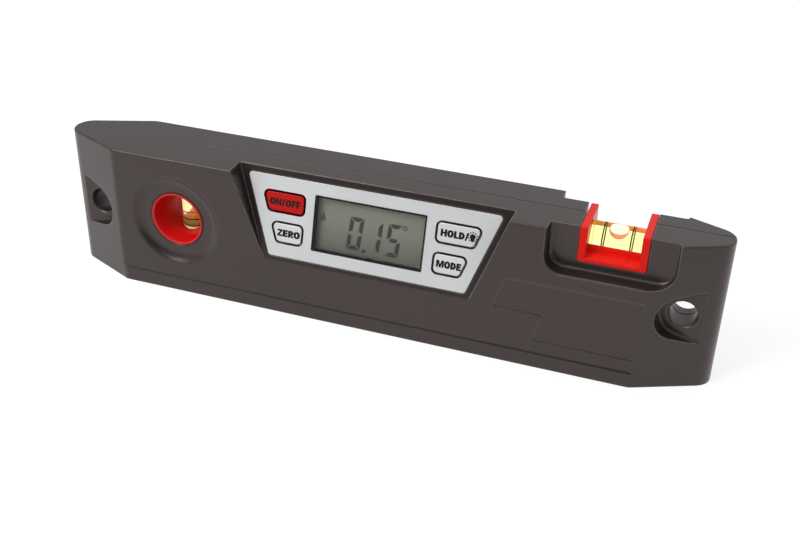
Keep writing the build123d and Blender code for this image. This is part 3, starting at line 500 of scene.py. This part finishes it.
def boardFinish():
    look = boardLook
    finish, tree, shader = startFinish("boardGreen")
    grid = {"Vector": objectSpot(tree), "Scale": look["pitch"]}
    tracks = addNode(tree, "TexBrick", dict(grid, **{"Mortar Size": look["trackWidth"]})).outputs["Fac"]
    fromPad = addNode(tree, "TexVoronoi", grid).outputs["Distance"]
    tinned = spread(tree, fromPad, 1.0, 0.0, *look["padReach"])
    green = mixTint(tree, tracks, look["mask"], look["track"])
    feed(tree, mixTint(tree, tinned, green, look["pad"]), shader.inputs["Base Color"])
    feed(tree, spread(tree, tinned, *look["rough"]), shader.inputs["Roughness"])
    addBump(tree, shader, tracks, look["depth"])
    return finish


# Cell: dark jacket with a pale band at one end, bare metal on the flat ends
cellLook = {"jacket": colour(34, 36, 40), "band": colour(176, 150, 96), "metal": colour(190, 190, 188),
            "bandAt": 12.0 * mm, "flatFrom": 0.7, "grain": 2600.0, "patch": 160.0, "rough": (0.26, 0.36),
            "depth": 4e-6}


def cellFinish(name, bandSide):  # 1 for a band at the right end, -1 for the left
    look = cellLook
    finish, tree, shader = startFinish(name)
    grain = useGroup(tree, mouldGrain, {"Grain": look["grain"], "Patch": look["patch"]})
    endward = sums(tree, "ABSOLUTE", threeParts(tree, faceNormal(tree))["X"])
    bare = sums(tree, "GREATER_THAN", endward, look["flatFrom"])
    along = sums(tree, "MULTIPLY", objectPlace(tree)["X"], bandSide)
    banded = sums(tree, "GREATER_THAN", along, look["bandAt"])
    wrap = mixTint(tree, banded, look["jacket"], look["band"])
    feed(tree, mixTint(tree, bare, wrap, look["metal"]), shader.inputs["Base Color"])
    feed(tree, bare, shader.inputs["Metallic"])
    feed(tree, spread(tree, grain["Tone"], *look["rough"]), shader.inputs["Roughness"])
    addBump(tree, shader, grain["Height"], look["depth"])
    return finish


# Plug of the upright vial: white with a band of painted shade along its top, and it glows a little as
# painted light
plugLook = {"body": colour(250, 240, 236), "paintedTopShade": colour(26, 15, 7), "paintedTopShadeFrom": 0.78, "glowLevel": 0.3,
            "rough": (0.3, 0.4), "grain": 4200.0, "patch": 120.0, "depth": 5e-6}


def plugFinish():
    look = plugLook
    finish, tree, shader = startFinish("plugWhite", {"Emission Strength": look["glowLevel"]})
    grain = useGroup(tree, mouldGrain, {"Grain": look["grain"], "Patch": look["patch"]})
    share = spread(tree, objectPlace(tree)["Z"], 0.0, 1.0, *span("plumb_vial_plug", alongZ))
    tone = mixTint(tree, sums(tree, "GREATER_THAN", share, look["paintedTopShadeFrom"]), look["body"], look["paintedTopShade"])
    # the same colour is its painted glow
    for socket in ("Base Color", "Emission Color"):
        feed(tree, tone, shader.inputs[socket])
    feed(tree, spread(tree, grain["Tone"], *look["rough"]), shader.inputs["Roughness"])
    addBump(tree, shader, grain["Height"], look["depth"])
    return finish


finishes = {
    "casing": mouldedFinish("casingPlastic", casingLook),
    "silver": mouldedFinish("panelSilver", silverLook),
    "silverKey": mouldedFinish("keySilver", silverKeyLook),
    "redKey": mouldedFinish("keyRed", redKeyLook),
    "red": mouldedFinish("redPlastic", redPlasticLook),
    "sleeve": mouldedFinish("sleeveRed", sleeveLook),
    "white": mouldedFinish("whitePlastic", whitePlasticLook),
    "softBlack": mouldedFinish("softBlack", softBlackLook),
    "redLead": mouldedFinish("leadRed", redLeadLook),
    "lightGuide": mouldedFinish("lightGuide", lightGuideLook),
    "chip": mouldedFinish("chipBlack", chipLook),
    "label": mouldedFinish("labelInk", labelLook),
    "redLabel": mouldedFinish("redLabelInk", redLabelLook),
    "segment": mouldedFinish("segmentInk", segmentLook),
    "faintSegment": mouldedFinish("faintSegmentInk", faintSegmentLook),
    "spring": metalFinish("springStrip", springLook),
    "screw": metalFinish("screwSteel", screwLook),
    "window": clearFinish("clearWindow", windowLook),
    "vial": clearFinish("vialGreen", vialLook),
    "plumbLiquid": clearFinish("vialAmber", plumbLiquidLook),
    "skinInside": clearFinish("bubbleInside", skinLook),
    "skinOutside": startFinish("bubbleOutside", {"Alpha": 0.0})[0],
    "display": displayFinish(),
    "board": boardFinish(),
    "plumbPlug": plugFinish(),
    "cellUpper": cellFinish("cellJacketUpper", 1.0),
    "cellLower": cellFinish("cellJacketLower", -1.0),
}
nodeFinishes = {
    "front_casing": "casing", "rear_casing": "casing", "battery_door": "casing",
    "fascia_panel": "silver", "display_window": "window", "display_gasket": "softBlack",
    "display_glass": "display", "display_backlight": "lightGuide", "display_contact_strip": "softBlack",
    "circuit_board": "board", "controller_chip": "chip", "tilt_sensor": "chip", "switch_bodies": "chip",
    "board_screws": "screw", "casing_screws": "screw", "battery_door_screw": "screw",
    "battery_cell_upper": "cellUpper", "battery_cell_lower": "cellLower", "battery_bridge_contact": "spring",
    "battery_positive_contact": "spring", "battery_negative_contact": "spring",
    "battery_positive_lead": "redLead", "battery_negative_lead": "softBlack",
    "top_vial_carrier": "red", "top_vial": "vial", "top_vial_plug": "white", "top_bubble": "vial",
    "plumb_sleeve_front": "sleeve", "plumb_sleeve_rear": "sleeve", "plumb_vial": "vial",
    "plumb_vial_plug": "plumbPlug", "plumb_bubble": "vial", "key_on_off": "redKey",
    "key_zero": "silverKey", "key_hold_light": "silverKey", "key_mode": "silverKey",
    "switch_plunger_on_off": "chip", "switch_plunger_zero": "chip", "switch_plunger_hold_light": "chip",
    "switch_plunger_mode": "chip",
}
for nodeName, finishName in nodeFinishes.items():
    frame["nodes"][nodeName].material_slots[0].material = finishes[finishName]
print("finishes:", len(finishes), "on", len(nodeFinishes), "nodes")


# Digits of the display, in mm from its middle: six bars with slanted ends round a pointed one, leaning right
displayInk = {
    "figures": "015", "middle": (1.48, -1.6), "pitch": 6.72, "halfWidth": 1.75, "halfHeight": 4.85,
    "stroke": 1.4, "gap": 0.22, "lean": 4.5, "point": (-1.3, -7.0), "pointSize": (1.7, 0.65),
    "thickness": 0.03,
}
litBars = {"0": "abcdef", "1": "bc", "5": "acdf"}  # the middle bar of the last digit is drawn by itself
barSides = {  # whether a bar is to the right or left and above or below
    "a": (1, 1), "b": (1, 1), "c": (1, -1), "d": (1, -1), "e": (-1, -1), "f": (-1, 1),
}
displayMiddle = np.array([middle("display_window", panelRight), middle("display_window", panelUp)])
displayFace = span("display_glass", panelOut)[1]


def leaning(outlines):
    ink = displayInk
    outlines[..., 0] += np.tan(np.radians(ink["lean"])) * (outlines[..., 1] - ink["middle"][1])
    return displayMiddle + outlines * mm


# Outer bars: the long edge lies on the digit's outer line, and the ends are cut at 45 degrees
def outerBars():
    ink, half = displayInk, displayInk["stroke"] / 2
    wide, tall, gap = ink["halfWidth"], ink["halfHeight"], ink["gap"]
    level = np.array([(-wide + half + gap, tall - half), (wide - half - gap, tall - half),
                      (wide + half - gap, tall + half), (-wide - half + gap, tall + half)])
    upright = np.array([(wide + half, gap), (wide + half, tall + half - gap),
                        (wide - half, tall - half - gap), (wide - half, half + gap)])
    outlines = []
    for spot, figure in enumerate(ink["figures"]):
        for bar in litBars[figure]:
            sides = np.array(barSides[bar])
            turned = (level if bar in "ad" else upright) * sides
            turned = turned if sides.prod() > 0 else turned[::-1]  # a mirrored outline is read backwards
            outlines.append(turned + ink["middle"] + [(spot - 1) * ink["pitch"], 0])
    return leaning(np.array(outlines))


def middleBar():  # of the last digit
    ink = displayInk
    centre = (ink["middle"][0] + ink["pitch"], ink["middle"][1])
    return leaning(barOutlines([centre], [0.0], [2 * (ink["halfWidth"] - ink["gap"])], ink["stroke"] / 2))


def decimalPoint():
    length, half = displayInk["pointSize"]
    return leaning(barOutlines([displayInk["point"]], [0.0], [length], half))


def addDisplayFigures():
    top = displayFace + displayInk["thickness"] * mm
    bars = [plates(outlines, displayFace, top) for outlines in (outerBars(), middleBar(), decimalPoint())]
    addPiece("display_figures", joined(*bars), "housing", [finishes["segment"]])


# Faint signs of the display: a three-cornered arrow at the left, and the ring of a degree sign
faintSigns = {"degree": (11.8, 3.3), "degreeSize": (0.4, 0.88), "degreeTurns": 24, "thickness": 0.03,
              "arrow": (-17.0, 1.9), "arrowSize": (1.4, 2.2), "arrowCorners": (90, 210, 330)}


def addFaintSigns():
    signs, thickness = faintSigns, faintSigns["thickness"] * mm
    inner, outer = (size * mm for size in signs["degreeSize"])
    foot = onPanel(*(displayMiddle + np.array(signs["degree"]) * mm), displayFace)
    degree = hoop(inner, outer, 0, thickness, foot, panelOut, signs["degreeTurns"])
    turn = np.radians(signs["arrowCorners"])
    corners = np.column_stack([np.cos(turn), np.sin(turn)]) * signs["arrowSize"] + signs["arrow"]
    arrow = plates([displayMiddle + corners * mm], displayFace, displayFace + thickness)
    addPiece("display_faint_signs", joined(arrow, degree), "housing", [finishes["faintSegment"]])


# Black print along the window's edge: inner and outer reach of each side
displayBorder = {"left": (18.65, 19.35), "right": (18.9, 19.35), "lower": (8.7, 9.4), "upper": (8.95, 9.4),
                 "thickness": 0.02}


def addDisplayBorder():
    face = span("display_window", panelOut)[1]
    sides = zip(*(displayBorder[side] for side in ("left", "right", "lower", "upper")))
    inner, outer = (
        displayMiddle + np.array([(-left, -lower), (right, -lower), (right, upper), (-left, upper)]) * mm
        for left, right, lower, upper in sides
    )
    border = loopPlate(outer, inner, face, face + displayBorder["thickness"] * mm)
    addPiece("display_border", border, "housing", [finishes["label"]])


addDisplayFigures()
addFaintSigns()
addDisplayBorder()
print("display figures done")


# Key lettering: heavy plain capitals, drawn one cap high and then set to the width of each word, in mm
lettering = {
    "on_off": {"text": "ON/OFF", "middle": -30.05, "width": 11.2, "finish": "redLabel"},
    "zero": {"text": "ZERO", "middle": -27.95, "width": 8.3, "finish": "label"},
    "hold_light": {"text": "HOLD/", "middle": 29.1, "width": 9.3, "finish": "label"},
    "mode": {"text": "MODE", "middle": 28.4, "width": 8.4, "finish": "label"},
}
capHeight = 2.4
inkThickness = 0.02 * mm
panelMiddle = middle("display_window", panelRight)
stem, bar, letterGap = 0.43, 0.26, 0.05  # in cap heights, as all the letters are
tuckedIn = {"R": 0.12}  # how far the next letter moves in
roundLetters = {"wideO": 1.12, "squareO": 0.85, "stepsO": 40, "wideD": 1.02, "wideR": 0.98, "waistR": 0.36,
                "thinR": 0.9, "legR": [(0.64, 0), (1.04, 0), (0.72, 0.38), (0.4, 0.36)],
                "bowlFrom": 0.38, "bowlSteps": 17}
straightLetters = {
    "N": [(0, 0), (0.35, 0), (0.35, 0.55), (0.7, 0), (1.08, 0), (1.08, 1), (0.73, 1), (0.73, 0.45),
          (0.38, 1), (0, 1)],
    "F": [(0, 0), (stem, 0), (stem, 0.36), (0.76, 0.36), (0.76, 0.36 + bar), (stem, 0.36 + bar),
          (stem, 1 - bar), (0.84, 1 - bar), (0.84, 1), (0, 1)],
    "E": [(0, 0), (0.88, 0), (0.88, bar), (stem, bar), (stem, 0.39), (0.82, 0.39), (0.82, 0.39 + bar),
          (stem, 0.39 + bar), (stem, 1 - bar), (0.86, 1 - bar), (0.86, 1), (0, 1)],
    "H": [(0, 0), (0.4, 0), (0.4, 0.38), (0.72, 0.38), (0.72, 0), (1.12, 0), (1.12, 1), (0.72, 1),
          (0.72, 0.38 + bar), (0.4, 0.38 + bar), (0.4, 1), (0, 1)],
    "L": [(0, 0), (0.82, 0), (0.82, bar), (stem, bar), (stem, 1), (0, 1)],
    "Z": [(0, 0), (0.94, 0), (0.94, bar), (0.44, bar), (0.94, 0.8), (0.94, 1), (0.04, 1), (0.04, 1 - bar),
          (0.5, 1 - bar), (0, 0.2)],
    "M": [(0, 0), (0.36, 0), (0.36, 0.55), (0.55, 0), (0.87, 0), (1.06, 0.55), (1.06, 0), (1.42, 0),
          (1.42, 1), (0.94, 1), (0.71, 0.42), (0.48, 1), (0, 1)],
    "/": [(0, -0.05), (0.3, -0.05), (0.62, 1.05), (0.32, 1.05)],
}


# Bowl of a round letter: an outer and an inner loop, each a straight left side and a drawn-out half circle
def bowl(wide, low, high, thick):
    turn = np.linspace(-np.pi / 2, np.pi / 2, roundLetters["bowlSteps"])
    start, centre, reach = roundLetters["bowlFrom"], (low + high) / 2, (high - low) / 2

    def loop(left, inset):
        across = start + (wide - left - start) * np.cos(turn)
        along = centre + (reach - inset) * np.sin(turn)
        return np.array([(left, low + inset), *zip(across, along), (left, high - inset)])

    return loop(0, 0), loop(stem, thick)


# Letter O: an outer and an inner loop, each a circle made a little squarer by a power of cosine and sine
def letterO():
    turn = np.linspace(0, 2 * np.pi, roundLetters["stepsO"], endpoint=False)
    circle = np.column_stack([np.cos(turn), np.sin(turn)])
    circle = np.sign(circle) * np.abs(circle) ** roundLetters["squareO"]
    half = np.array([roundLetters["wideO"] / 2, 0.5])
    return half + circle * half, half + circle * (half - [stem, bar])


def letterParts(letter):  # each part is one loop, or an outer and an inner one
    look = roundLetters
    if letter == "O":
        return [letterO()]
    if letter == "D":
        return [bowl(look["wideD"], 0, 1, bar)]
    if letter == "R":
        waist = look["waistR"]
        foot = np.array([(0, 0), (stem, 0), (stem, waist), (0, waist)])
        return [bowl(look["wideR"], waist, 1, bar * look["thinR"]), (foot,), (np.array(look["legR"]),)]
    return [(np.array(straightLetters[letter]),)]


def wordShape(look, spot, low, high):
    parts, reach = [], 0.0
    for letter in look["text"]:  # first round: letters side by side, one cap high
        drawn = letterParts(letter)
        parts += [[loop + [reach, 0] for loop in part] for part in drawn]
        wide = max(part[0][:, 0].max() for part in drawn)
        reach += wide + letterGap - tuckedIn.get(letter, 0.0)
    size = np.array([look["width"] / (reach - letterGap), capHeight]) * mm
    corner = spot - np.array([look["width"], capHeight]) * mm / 2
    shapes = []
    for part in parts:  # second round: set to the word's width
        loops = [corner + loop * size for loop in part]
        shapes.append(loopPlate(*loops, low, high) if len(loops) == 2 else plates(loops, low, high))
    return joined(*shapes)


def addLettering(key, look):
    node = "key_" + key
    face = span(node, panelOut)[1]
    spot = np.array([panelMiddle + look["middle"] * mm, middle(node, panelUp)])
    shape = wordShape(look, spot, face, face + inkThickness)
    addPiece("lettering_" + key, shape, node, [finishes[look["finish"]]])


for keyName, keyLetters in lettering.items():
    addLettering(keyName, keyLetters)


# Lamp sign, in mm: a round head that a bell curve draws down to a foot, with short rays on a circle round it
lampSign = {"middle": (35.1, 0.3), "head": 0.95, "foot": 0.84, "footSpread": 0.42, "footThin": 0.15,
            "steps": 40, "rays": 10, "rayFrom": 1.1, "rayTo": 1.8, "rayHalf": 0.28}


def lampOutline():
    sign = lampSign
    turn = np.linspace(0, 2 * np.pi, sign["steps"], endpoint=False)
    drop = np.exp(-(((turn - 1.5 * np.pi) / sign["footSpread"]) ** 2))
    radius = sign["head"] + sign["foot"] * drop
    return np.column_stack([np.cos(turn) * (radius - sign["footThin"] * drop), np.sin(turn) * radius])


def addLampSign():
    sign, node = lampSign, "key_hold_light"
    face = span(node, panelOut)[1]
    spot = np.array([panelMiddle, middle(node, panelUp)]) + np.array(sign["middle"]) * mm
    turn = np.radians(-90) + np.linspace(0, 2 * np.pi, sign["rays"] + 1)[1:-1]  # no ray where the foot is
    reach = (sign["rayFrom"] + sign["rayTo"]) / 2
    centres = np.column_stack([np.cos(turn), np.sin(turn)]) * reach
    lengths = np.full(len(turn), sign["rayTo"] - sign["rayFrom"])
    rays = spot + barOutlines(centres, turn, lengths, sign["rayHalf"]) * mm
    bulb = spot + lampOutline() * mm
    shape = joined(plates([bulb], face, face + inkThickness), plates(rays, face, face + inkThickness))
    addPiece("lettering_lamp_sign", shape, node, [finishes["label"]])


addLampSign()
print("lettering done")


# Vials, in mm: each is a clear rod with two black rings, and its bubble is a thin skin round air
vialShape = {"edge": 0.25, "edgeSteps": 6, "shoulder": 1.3, "turns": 96, "ringWidth": 0.42, "ringDepth": 0.1,
             "ringProud": 0.012, "skin": 0.03, "bubbleRings": 33, "bubbleTurns": 48}


# Rod: flat ends, edges rounded by a quarter circle and one ring close to each edge, carried round the axis
def vialRod(radius, length, start, axis):
    edge = vialShape["edge"] * mm
    turn = np.linspace(0, np.pi / 2, vialShape["edgeSteps"])
    low = np.column_stack([radius - edge + edge * np.sin(turn), edge - edge * np.cos(turn)])
    high = np.column_stack([low[::-1, 0], length - low[::-1, 1]])
    shoulder = radius - vialShape["shoulder"] * edge
    profile = np.vstack([[(0, 0), (shoulder, 0)], low, high, [(shoulder, length), (0, length)]])
    return lathe(profile, start, axis, vialShape["turns"])


def vialRings(radius, ringAt, centre, axis):
    look, half = vialShape, vialShape["ringWidth"] * mm / 2
    inner, outer = radius - look["ringDepth"] * mm, radius + look["ringProud"] * mm
    return joined(*[hoop(inner, outer, at - half, at + half, centre, axis, look["turns"])
                    for at in (-ringAt * mm, ringAt * mm)])


def addBubble(name, body, outside, inside):  # outer faces look out, inner faces look into the air
    shape = joined(outside, (inside[0], [rows[:, ::-1] for rows in inside[1]]))
    skins = [finishes["skinOutside"], finishes["skinInside"]]
    return addPiece(name, shape, body, skins, smooth=True, second=sum(map(len, outside[1])))


# Level bubble: an ellipsoid whose points are drawn in, by a high power, where they would leave the bore
levelVial = {"ringAt": 4.4, "bubble": (3.1, 3.0, 2.4), "bubbleLift": 2.7, "bore": 3.75, "power": 12}


def levelBubble(spot, shrink):
    look = levelVial
    turn = np.linspace(0, np.pi, vialShape["bubbleRings"])
    halfCircle = np.column_stack([np.sin(turn), -np.cos(turn)])
    points, faces = lathe(halfCircle, np.zeros(3), alongX, vialShape["bubbleTurns"])
    points = points * (np.array(look["bubble"]) - shrink) + look["bubbleLift"] * alongZ
    reach = np.hypot(points[:, 1], points[:, 2]) / (look["bore"] - shrink)
    points[:, 1:] /= (1 + reach ** look["power"])[:, None] ** (1 / look["power"])
    return points * mm + spot, faces


def addLevelVial():
    low, high = (np.array(corner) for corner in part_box("top_vial"))
    centre = (low + high) / 2
    radius, length = (high[2] - low[2]) / 2, high[0] - low[0]
    shape = vialRod(radius, length, np.array([low[0], centre[1], centre[2]]), alongX)
    rod = addPiece("level_vial_rod", shape, "housing", [finishes["vial"]], smooth=True)
    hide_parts("top_vial", "top_vial_plug")
    rings = vialRings(radius, levelVial["ringAt"], centre, alongX)
    addPiece("level_vial_rings", rings, "housing", [finishes["label"]])
    spot = np.array([middle("top_bubble", alongX), centre[1], centre[2]])
    skins = [levelBubble(spot, shrink) for shrink in (0.0, vialShape["skin"])]
    bubble = addBubble("level_vial_bubble", "top_bubble", *skins)
    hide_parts("top_bubble")


# Plumb bubble: a power of a cosine gives the radius, flat above the split and rounder below it
plumbVial = {"ringAt": 3.9, "split": 0.62, "lowerPower": 0.8, "upperPower": 0.45}


def plumbBubble(radius, low, high, spot, shrink):
    look = plumbVial
    turn = np.linspace(-np.pi / 2, np.pi / 2, vialShape["bubbleRings"])
    split = low + look["split"] * (high - low)
    reach = split + np.sin(turn) * np.where(turn < 0, split - low - shrink, high - split - shrink)
    wide = (radius - shrink) * np.cos(turn) ** np.where(turn < 0, look["lowerPower"], look["upperPower"])
    return lathe(np.column_stack([wide, reach]), spot, alongZ, vialShape["bubbleTurns"])


def addPlumbVial():
    low, high = (np.array(corner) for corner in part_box("plumb_vial"))
    centre = (low + high) / 2
    radius, length = (high[0] - low[0]) / 2, high[2] - low[2]
    shape = vialRod(radius, length, np.array([centre[0], centre[1], low[2]]), alongZ)
    rod = addPiece("plumb_vial_rod", shape, "housing", [finishes["plumbLiquid"]], smooth=True)
    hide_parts("plumb_vial")
    rings = vialRings(radius, plumbVial["ringAt"], centre, alongZ)
    addPiece("plumb_vial_rings", rings, "housing", [finishes["label"]])
    lowest, highest = (np.array(corner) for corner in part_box("plumb_bubble"))
    wide = (highest[0] - lowest[0]) / 2
    spot = np.array([centre[0], centre[1], 0.0])
    skins = [plumbBubble(wide, lowest[2], highest[2], spot, shrink)
             for shrink in (0.0, vialShape["skin"] * mm)]
    bubble = addBubble("plumb_vial_bubble", "plumb_bubble", *skins)
    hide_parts("plumb_bubble")


addLevelVial()
addPlumbVial()
print("vials done")


# Studio: white floor and surround, soft lamps, and the camera where the photograph was taken from
studio = {"ambient": 0.62, "floorSize": 3.0, "floorAt": -0.05 * mm, "floorTone": 0.45, "floorGlow": 0.72,
          "floorShade": 0.36, "floorEnd": (-0.35, -0.2), "darkAim": (0.35, -0.94, 0.0),
          "darkSide": (0.62, 0.78), "darkTop": (0.35, 0.6), "darkLevel": 0.03,
          "sideReach": (-0.54, 0.0), "sideLevel": (0.63, 0.88)}
lamps = {
    "overheadLamp": {"place": (-0.15, -0.05, 0.8), "size": 0.7, "power": 0.8},
    "leftLamp": {"place": (-0.42, -0.52, 0.62), "size": 0.42, "power": 4.6},
}
lampAim = np.array([0.0, 0.0, 0.025])
cameraLook = {  # degrees, mm and pixels
    "azimuth": 18.9011, "elevation": 30.0892, "roll": 1.5152, "distance": 374.1934,
    "target": (8.5709, 0.0, 18.7924), "focal": 1098.5, "imageWidth": 800.0, "sensor": 36.0, "nearest": 5.0,
}


def seenBy(tree):  # 1 for rays from the camera or through glass, and 1 for rays from mirrors
    path = addNode(tree, "LightPath").outputs
    return sums(tree, "MAXIMUM", path["Is Camera Ray"], path["Is Transmission Ray"]), path["Is Glossy Ray"]


# The surround is white. Mirrors see it dimmer to the left, with a dark room behind the camera
def addWorld():
    world = bpy.data.worlds.new("studioWhite")
    world.use_nodes = True
    scene.world = world
    tree = world.node_tree
    background = tree.nodes["Background"]
    background.inputs["Color"].default_value = plainWhite
    aim = addNode(tree, "TexCoord").outputs["Generated"]
    ways = threeParts(tree, aim)
    front = spread(tree, likeness(tree, aim, studio["darkAim"]), 0.0, 1.0, *studio["darkSide"])
    low = spread(tree, ways["Z"], 1.0, 0.0, *studio["darkTop"])
    side = spread(tree, ways["X"], *studio["sideLevel"], *studio["sideReach"])
    dimmed = spread(tree, sums(tree, "MULTIPLY", front, low), 1.0, studio["darkLevel"])
    through, mirrored = seenBy(tree)
    inMirrors = sums(tree, "MULTIPLY", mirrored, sums(tree, "MULTIPLY", side, dimmed))
    level = sums(tree, "ADD", spread(tree, mirrored, studio["ambient"], 0.0), inMirrors)
    feed(tree, sums(tree, "MAXIMUM", level, through), background.inputs["Strength"])


# The floor glows where the camera sees it. Mirrors see it only near the level, and black beyond
def addFloor():
    half = studio["floorSize"] / 2
    corners = np.array([(-half, -half), (half, -half), (half, half), (-half, half)])
    mesh = bpy.data.meshes.new("studioFloor")
    mesh.from_pydata(np.column_stack([corners, np.full(4, studio["floorAt"])]).tolist(), [], [[0, 1, 2, 3]])
    finish = bpy.data.materials.new("studioFloor")
    finish.use_nodes = True
    tree = finish.node_tree
    tree.nodes.remove(tree.nodes["Principled BSDF"])
    plain, faint = (addNode(tree, "BsdfDiffuse", {"Color": (tone, tone, tone, 1.0)}).outputs[0]
                    for tone in (studio["floorTone"], studio["floorShade"]))
    glow = addNode(tree, "Emission", {"Strength": studio["floorGlow"]}).outputs[0]
    shown = addNode(tree, "AddShader", {0: faint, 1: glow}).outputs[0]
    through, mirrored = seenBy(tree)
    near = spread(tree, objectPlace(tree)["Y"], 0.0, 1.0, *studio["floorEnd"])
    direct = sums(tree, "MAXIMUM", through, sums(tree, "MULTIPLY", mirrored, near))
    beyond = sums(tree, "MULTIPLY", mirrored, spread(tree, near, 1.0, 0.0))
    hidden = addNode(tree, "MixShader", {0: beyond, 1: plain}).outputs[0]
    both = addNode(tree, "MixShader", {0: direct, 1: hidden, 2: shown})
    feed(tree, both.outputs[0], tree.nodes["Material Output"].inputs["Surface"])
    mesh.materials.append(finish)
    floor = bpy.data.objects.new("studioFloor", mesh)
    scene.collection.objects.link(floor)


def facing(back, right, place):  # matrix of a thing at place that looks against back
    turn = np.eye(4)
    turn[:3] = np.column_stack([right, np.cross(back, right), back, place])
    return Matrix(turn.tolist())


def addLamps():
    for name, look in lamps.items():
        light = bpy.data.lights.new(name, "AREA")
        light.size, light.energy = look["size"], look["power"]
        lamp = bpy.data.objects.new(name, light)
        scene.collection.objects.link(lamp)
        back = np.array(look["place"]) - lampAim
        back /= np.linalg.norm(back)
        right = np.cross(alongY, back)
        lamp.matrix_world = facing(back, right / np.linalg.norm(right), look["place"])


def addCamera():
    look = cameraLook
    azimuth, elevation, roll = np.radians([look["azimuth"], look["elevation"], look["roll"]])
    level = np.array([np.cos(azimuth), np.sin(azimuth), 0.0])
    back = np.cos(elevation) * np.cross(level, alongZ) + np.sin(elevation) * alongZ
    right = np.cos(roll) * level + np.sin(roll) * np.cross(back, level)
    data = bpy.data.cameras.new("photoCamera")
    data.sensor_fit, data.sensor_width = "HORIZONTAL", look["sensor"]
    data.lens = look["sensor"] * look["focal"] / look["imageWidth"]
    data.clip_start = look["nearest"] * mm
    camera = bpy.data.objects.new("photoCamera", data)
    scene.collection.objects.link(camera)
    camera.matrix_world = facing(back, right, (np.array(look["target"]) + look["distance"] * back) * mm)
    scene.camera = camera


addWorld()
addFloor()
addLamps()
addCamera()
scene.view_settings.view_transform = "Standard"
print("studio done")
